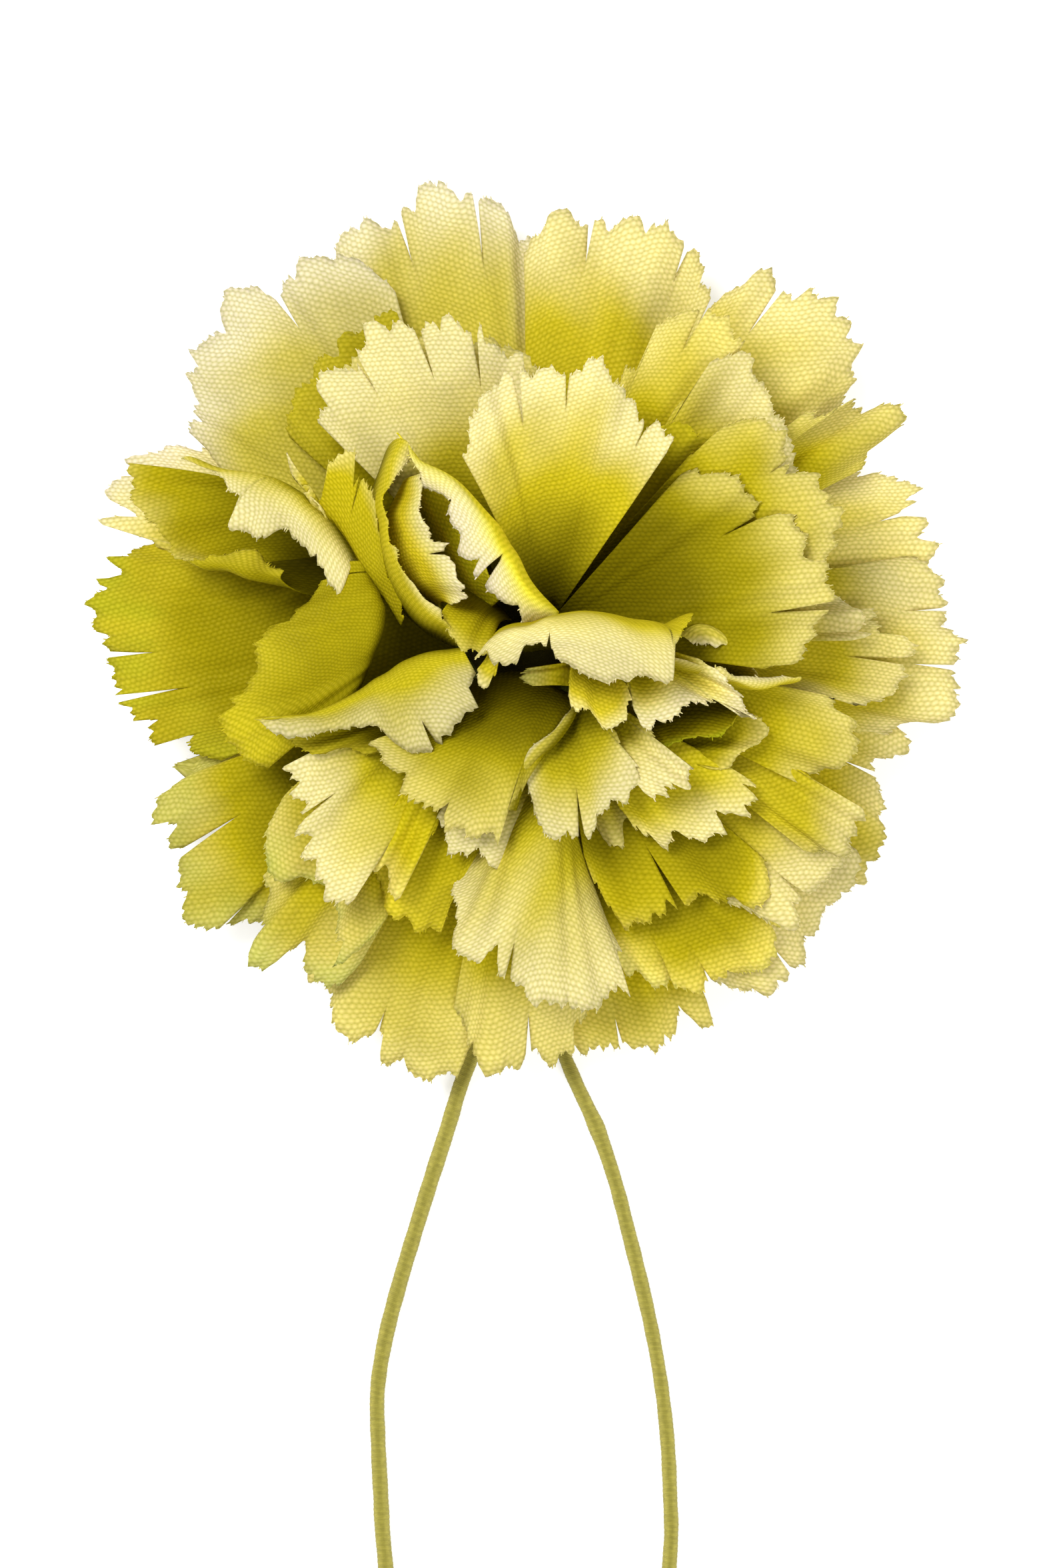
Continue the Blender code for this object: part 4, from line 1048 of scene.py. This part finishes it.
petal(
    "inner_petal_13",
    Sheet([
        [(4, -1.6, 12), (9, -3, 13), (14, -4, 14)],
        [(10, -2.4, 20), (13.4, -3.2, 20.6), (17, -4.2, 19.8), (20.3, -3.8, 18.6)],
        [(10, -1.3, 21.2), (13, -2, 21.8), (17, -3.5, 20.6), (20.6, -3, 19.2)],
    ], [
        (10.2, -1.5), (12.2, -2), (14, -2.7), (15.5, -3.1), (17, -3.5), (18.5, -3.5), (19.8, -3.1),
        (20.5, -3.3),
    ], dye="cream", tone=1.1, teeth=0.3, wave=(0.1, 1.0, 0.0)),
    Sheet([
        [(10, -3, 13), (14, -4.6, 13), (17, -4.8, 14)],
        [(11, -0.4, 19), (13.4, 0.4, 19.6), (15.8, -0.6, 19.2), (18.2, -2.6, 18.2)],
    ], [
        (11.2, -0.5), (13, 0.1), (14.5, -0.1), (15.6, -0.8), (16.8, -1.6), (17.9, -2.5),
    ], deep=0.1, teeth=0.4, wave=(0.1, 1.0, 0.0)),
    Sheet([
        [(11.5, -0.4, 18.6), (13.3, 0.25, 19.2), (15, -0.2, 19), (16.2, -1.2, 18.6)],
        [(11.5, -0.3, 20), (13.3, 0.45, 20.6), (15.1, -0.1, 20.4), (16.4, -1.1, 19.8)],
        [(11.9, -1.2, 20.2), (13.4, -1.5, 20.6), (15, -1.7, 20.4), (16.3, -2, 19.8)],
    ], [
        (12, -0.75), (12.6, -0.85), (13.4, -1.05), (14.3, -0.95), (14.6, -1.3), (15.1, -0.9), (15.6, -1),
        (16.2, -1.5),
    ], dye="pale", teeth=0.4, lift=0.1, wave=(0.05, 1.0, 0.0)))
petal("inner_petal_14", Sheet([
    [(-10.8, 3, 12), (-12.6, 5.8, 12), (-14.6, 7.8, 12), (-17.2, 9.2, 12)],
    [(-12.6, 4.6, 19.2), (-14.4, 7.2, 20.4), (-16.7, 9.9, 20.8), (-20.5, 12.1, 20), (-25, 13.2, 19)],
    [(-13.4, 1.8, 19.8), (-15.2, 3.8, 19.8), (-18, 6, 19.5), (-22.4, 6.6, 18.5), (-23.6, 9, 18),
     (-26, 12.4, 18)],
], [
    (-13.5, 5), (-13.7, 3.5), (-14, 2.2), (-14.3, 3.2), (-14.8, 3.9), (-15.3, 5), (-16, 5.3), (-17, 6.2),
    (-18.2, 7), (-19, 7.3), (-21, 7.2), (-21.4, 7.8), (-22.4, 8), (-22.5, 8.8), (-20.6, 9.3), (-19.4, 9.2),
    (-20.2, 9.7), (-21.5, 10.2), (-22.8, 10.8), (-23.2, 11.7), (-24.2, 12.3), (-25.4, 12.9),
], dye="cream", bleach=0.2, teeth=0.9))
petal(
    "inner_petal_15",
    Sheet([
        [(-9, 2, 10), (-10, 4.5, 10), (-10, 7, 10)],
        [(-18, 4.5, 11), (-19, 7.6, 9.5), (-19, 11, 10.5)],
        [(-23.5, 4, 15.5), (-26.5, 5.2, 14.5), (-30, 8.2, 13.5), (-31, 11, 13), (-31.6, 13.2, 12)],
    ], [
        (-22.5, 4.9), (-23.6, 4.4), (-25, 5), (-27, 6.4), (-28.8, 8.3), (-29.9, 9.5), (-30.3, 11),
        (-30.1, 11.8), (-31.2, 13.2),
    ], deep=0.3, bleach=-0.2, tone=0.95, teeth=0.7),
    Sheet([
        [(-12, 2, 10), (-13, 4, 10), (-15, 6, 10)],
        [(-18, 3.4, 16), (-21.5, 4.4, 16.5), (-24.6, 5.2, 16)],
        [(-18, 5.2, 16.5), (-21.5, 6.8, 16.6), (-24.8, 6.6, 15.6)],
    ], [
        (-17.8, 4.4), (-18.9, 5.2), (-20.4, 6.1), (-22.4, 6.5), (-24, 6.2), (-24.6, 5.6),
    ], dye="deep", teeth=0.6))

# The heart petals, the bud itself
petal("heart_petal_01", Sheet([
    [(-5.8, 8.4, 12), (-4.2, 6.8, 12), (-2, 4.2, 12), (0.2, 1.2, 13)],
    [(-9.6, 15.2, 22), (-8, 13.1, 24), (-5, 11.3, 26), (-2, 8, 27.5), (0.5, 3.9, 28), (2.4, 1.6, 26)],
    [(-9.8, 13.8, 22.5), (-8.4, 11, 24), (-6.4, 9, 25), (-5.6, 6, 25.6), (-4.4, 3.2, 26), (-1.8, 1.2, 26),
     (1.4, 0.6, 25)],
], [
    (-9.3, 14.6), (-8.6, 13.2), (-7.7, 12.1), (-7.6, 11.1), (-6.7, 10.9), (-6, 10.5), (-5.3, 9.9),
    (-4.2, 9.7), (-5.2, 9.5), (-5.5, 9.1), (-5.4, 8.2), (-4.6, 7.5), (-4.5, 6.9), (-4.9, 6.1), (-4.1, 5.3),
    (-3.2, 5.4), (-2.6, 5.4), (-3.4, 5), (-3.9, 4), (-3.6, 3.4), (-2.6, 3.2), (-2, 2.5), (-0.6, 2.2),
    (-0.5, 1.1), (0.3, 0.9), (1.5, 1.2),
], dye="cream", deep=-0.15, bleach=0.12, tone=1.45, slits=[(-1.7, 6.3)], teeth=0.6, lift=0.25,
    wave=(0.2, 2.0, 0.3)))
petal(
    "heart_petal_02",
    Sheet([
        [(-9.3, 11.7, 18), (-10.8, 8, 17), (-9.5, 4.6, 17), (-6.5, 1.9, 18)],
        [(-8.9, 11.9, 23), (-9.9, 8.4, 22.6), (-8.8, 5.2, 22.8), (-6.2, 2.4, 23)],
        [(-7.6, 12.5, 25.2), (-6.4, 9.2, 25.8), (-5, 7.4, 26), (-3.8, 4.4, 25.6), (-4.4, 1.6, 24.6)],
    ], [
        (-7.9, 12.2), (-7.7, 11.2), (-7.9, 10), (-7.8, 9), (-7.3, 8.4), (-7, 7.7), (-7.2, 6.9), (-6.5, 6.9),
        (-6.2, 7.5), (-5.8, 7.3), (-5.8, 6.4), (-5.3, 5.6), (-4.9, 4.5), (-4.4, 3.6), (-4.3, 2.8),
        (-4.8, 2.4), (-5.4, 2.2),
    ], dye="cream", deep=-0.4, bleach=0.1, tone=1.3, slits=[(-7.5, 6.1)], teeth=0.6, lift=0.25,
        wave=(0.15, 1.5, 0.0)),
    # A wall sheet deep in the bud, its olive dye lightened several times over by its tone: painted light.
    Sheet([
        [(-9.2, 11.4, 16), (-7.8, 7.4, 15), (-5.8, 3.8, 15), (-3.8, 1, 15)],
        [(-7.6, 12.4, 21.2), (-5.2, 9.6, 21.2), (-3.4, 6.4, 21.2), (-1.2, 3.2, 21.2)],
    ], [
        (-7.8, 12.1), (-5.4, 9.4), (-3.6, 6.3), (-1.5, 3.2),
    ], dye="olive", tone=3.6, teeth=0.3, wave=(0.1, 1.0, 0.0)))
petal("heart_petal_03", Sheet([
    [(-11, 13, 17), (-12.4, 8.5, 15), (-11.5, 4.2, 14), (-8, 0.4, 15), (-5.5, -1, 17)],
    [(-9.7, 14.9, 23), (-11.1, 10.6, 23.8), (-10.8, 7.2, 24.1), (-9.9, 4.3, 24.1), (-8.2, 1.7, 24),
     (-6.2, 0.2, 23.2), (-5, -0.9, 22)],
    [(-8.2, 13.6, 23.8), (-9.9, 10.2, 24.8), (-9.4, 6.8, 25), (-8.2, 4.2, 25), (-6.6, 2.7, 24.8),
     (-5.2, 1.4, 24), (-4, -0.6, 22.4)],
], [
    (-8.7, 13.3), (-9.5, 12.5), (-10.3, 11.6), (-10.8, 10.2), (-10.5, 8.6), (-10.3, 7), (-9.8, 6.6),
    (-9.8, 5.4), (-9.3, 4.5), (-8.4, 3.8), (-7.8, 2.7), (-6.9, 2.2), (-6.3, 1.8), (-6.4, 1.2), (-5.6, 0.4),
], dye="cream", deep=-0.1, bleach=0.1, tone=1.05, teeth=0.5, wave=(0.1, 1.0, 0.0)))
petal(
    "heart_petal_04",
    Sheet([
        [(-15.8, 9.4, 20), (-14.1, 7.8, 20.6), (-12.3, 4.8, 20.6), (-10.7, 2.5, 20), (-9.5, 0.6, 19)],
        [(-15.8, 11.5, 21.8), (-13.6, 11, 22.4), (-11.9, 7.6, 22.4), (-10.6, 4.4, 21.8), (-9.2, 1.2, 20)],
        [(-15.8, 13.6, 22.5), (-12.6, 14.8, 23.2), (-10.9, 10.2, 23.4), (-10.2, 6.5, 23.2), (-9.5, 4, 22.2),
         (-8.6, 1.7, 20.6)],
    ], [
        (-15.6, 10.6), (-15.3, 12), (-15.1, 13.1), (-14, 13.9), (-12.7, 14.2), (-12.95, 13), (-13, 11.4),
        (-12.5, 12.6), (-12, 11.4), (-11.4, 10.2), (-11.2, 9), (-10.9, 7.6), (-10.6, 6.4), (-10.4, 5),
        (-10, 4), (-9.5, 2.6), (-9, 1.5),
    ], deep=-0.45, tone=1.1, slits=[(-13.5, 9.0)], teeth=0.7, lift=0.15, wave=(0.1, 1.0, 0.0)),
    fan((-13.6, 6.6, 17), [
        (-15.4, 9.4), (-15.7, 12), (-15.7, 13.9), (-16.7, 15), (-17.5, 15.7), (-17.8, 14.7), (-18.3, 14.5),
        (-18.1, 13.2), (-17, 11.6), (-16.2, 9.8),
    ], 20.6, 1.0, width=1.5, dye="outer", bleach=0.1))
petal("heart_petal_05", Sheet([
    [(0, -1.4, 14), (2.5, -1.2, 13), (5.5, -1.4, 13), (8, -2, 14)],
    [(-2.9, -0.8, 25.3), (-2, 0.4, 26.3), (0, 0.9, 27.5), (3, 1.6, 28.2), (6, 1.5, 27.9), (9, 0.95, 27),
     (11.6, 0.6, 25.8), (13.1, 1.5, 24.5)],
    [(-4.2, -3.4, 23.5), (-2, -2.8, 25.5), (0.5, -2.6, 26.3), (3, -3.2, 26.3), (6, -4.1, 25.9),
     (9, -4.4, 25.4), (12, -4.6, 24.6), (14, -4.2, 23.6)],
], [
    (-2.8, -1.2), (-2.3, -2.1), (-1, -1.9), (-0.4, -1.9), (0, -0.9), (0.9, -0.7), (1.6, -0.6), (1.5, -1),
    (1.9, -1.5), (2.2, -2.1), (3.2, -2.3), (4, -2.8), (5, -3), (5.8, -3.3), (6.5, -3.5), (7.8, -3.6),
    (8.5, -3.3), (9.8, -3.4), (10.8, -3.7), (12, -3.8), (12.9, -3.9), (12.6, -3.1), (12, -2.1),
    (11.4, -1.2), (11.9, -0.3), (12.1, 0.3), (12.9, 1.3),
], dye="cream", deep=-0.2, bleach=0.15, tone=1.06, slits=[(1.85, 0.1)], teeth=0.7, lift=0.2,
    wave=(0.15, 2.0, 0.2)))
petal("heart_petal_06", Sheet([
    [(10.5, -1.2, 10), (10.5, -5, 10)],
    [(6.7, -1.6, 18), (6.7, -4.7, 18)],
    [(3.2, -2.2, 21), (3, -4, 21)],
    [(-1, -2.7, 21.8), (-1, -4.1, 21.2)],
], [
    (-0.4, -3), (-0.5, -3.4), (-0.1, -4),
], green=0.15, wave=(0.15, 0.6, 0.0)))
petal(
    "heart_petal_07",
    Sheet([
        [(-4, 3.5, 14), (-2, 2, 14), (-1, 1, 14)],
        [(-5.7, 2.5, 22.6), (-4, 1.5, 22.4), (-2.2, 0.4, 22)],
        [(-6.9, 0.8, 24), (-5.4, -2, 24), (-2.8, -2.6, 24)],
    ], [
        (-6.4, 1.3), (-6, 0.2), (-5.6, -0.6), (-5.1, -1.2), (-4.7, -1.8), (-4.4, -1.3), (-4, -1.2),
        (-3.6, -1.6), (-3.3, -2), (-2.8, -1.6),
    ], teeth=0.6, wave=(0.1, 1.0, 0.0)),
    Sheet([
        [(-2.6, -0.6, 25.6), (-1.8, -1.4, 26)],
        [(-3.1, -2, 25.2), (-2.1, -2.4, 25.6)],
        [(-4.1, -3.2, 24.2), (-2.5, -4.8, 24)],
    ], [
        (-3.8, -3.2), (-3.5, -4.3), (-2.9, -4.4), (-2.6, -3.6),
    ], dye="outer", teeth=0.5, wave=(0.05, 1.0, 0.0)))


# ---------------------------------------------------------------- cord, floor and lights
def cord_rings(path, length):
    """The wound cord's surface: rings round the path, with its turns of yarn, hollow and uneven swell."""
    tangents = unit(np.gradient(path, axis=0))
    side = unit(np.cross(tangents, (0.0, 0.0, 1.0)))
    up = np.cross(side, tangents)
    around = np.arange(CORD_SIDES) / CORD_SIDES
    s = np.linspace(0.0, length, len(path))
    wound = s[:, None] / CORD_WRAP_PITCH - around[None, :]
    slow, quick = np.sin(s / 3.1) * np.sin(s / 7.7 + 1.0), np.sin(s * 2.3)
    thickness = 0.98 + 0.04 * slow + 0.03 * quick * np.sin(s / 1.7)
    thickness += 0.05 * np.cos(math.pi * s / length)
    from_kink = np.linalg.norm(path[:, :2] - np.array(CORD_KINK), axis=1)
    thickness += CORD_KINK_SWELL * np.exp(-from_kink ** 2)
    angle = TURN * around
    hollow = CORD_HOLLOW_DEPTH * np.exp(-((around - CORD_HOLLOW_PLACE) / CORD_HOLLOW_WIDTH) ** 2)
    radius = CORD_RADIUS * thickness[:, None] * (0.975 + 0.025 * np.cos(TURN * wound) - hollow[None, :])
    return (path[:, None, :] + side[:, None, :] * (radius * np.cos(angle))[..., None]
            + up[:, None, :] * (radius * np.sin(angle))[..., None])


def add_cord():
    route = np.array(CORD_ROUTE, float)
    length = length_of(spaced(route, CORD_LENGTH_POINTS))
    count = round(length / CORD_RING_STEP)
    s = np.linspace(0.0, length, count + 1)
    vertices = cord_rings(spaced(route, count + 1), length).reshape(-1, 3)
    faces, uvs = [], []
    for i in range(count):
        for j in range(CORD_SIDES):
            corners = ((i, j), (i, j + 1), (i + 1, j + 1), (i + 1, j))
            faces.append(tuple(ring * CORD_SIDES + turn % CORD_SIDES for ring, turn in corners))
            for ring, turn in corners:
                uvs.append((turn / CORD_SIDES, s[ring] - turn / CORD_SIDES * CORD_WRAP_PITCH))
    faces += [tuple(range(CORD_SIDES))[::-1], tuple(count * CORD_SIDES + j for j in range(CORD_SIDES))]
    uvs += [(0.0, 0.0)] * (2 * CORD_SIDES)
    mesh = bpy.data.meshes.new("cord_wound")
    mesh.from_pydata((vertices * MM).tolist(), [], faces)
    mesh.uv_layers.new(name="wrap").data.foreach_set("uv", np.array(uvs, float).ravel())
    mesh.shade_smooth()
    mesh.materials.append(cord_material())
    obj = add_object("cord_wound", mesh)
    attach(obj, "root")
    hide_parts("cord_loop")


def add_floor():
    mesh = bpy.data.meshes.new("floor")
    signs = ((-1, -1), (1, -1), (1, 1), (-1, 1))
    mesh.from_pydata([(x * FLOOR_HALF * MM, y * FLOOR_HALF * MM, 0) for x, y in signs], [], [(0, 1, 2, 3)])
    mesh.materials.append(Nodes("floor_paper").shade(
        Base_Color=FLOOR_GREY, Roughness=0.9, Specular_IOR_Level=0.1,
        Emission_Color=WHITE, Emission_Strength=FLOOR_GLOW))
    add_object("floor", mesh)


def add_light():
    world = bpy.data.worlds.new("studio")
    world.use_nodes = True
    background = world.node_tree.nodes["Background"]
    background.inputs["Color"].default_value = WHITE
    background.inputs["Strength"].default_value = WORLD_STRENGTH
    bpy.context.scene.world = world
    for name, (place, size, power) in LAMPS.items():
        data = bpy.data.lights.new(name, "AREA")
        data.shape = "DISK"
        data.size = size
        data.energy = power
        lamp = add_object(name, data)
        lamp.location = place
        lamp.rotation_euler = (-Vector(place)).to_track_quat("-Z", "Y").to_euler()


def main():
    add_camera()
    add_cord()
    cloth = cloth_material()
    for seed, (name, sheets) in enumerate(PETALS.items(), 1):
        add_cloth(name, sheets, cloth, seed)
    dress_cad_nodes()
    add_floor()
    add_light()
    bpy.context.scene.view_settings.view_transform = "Standard"


main()
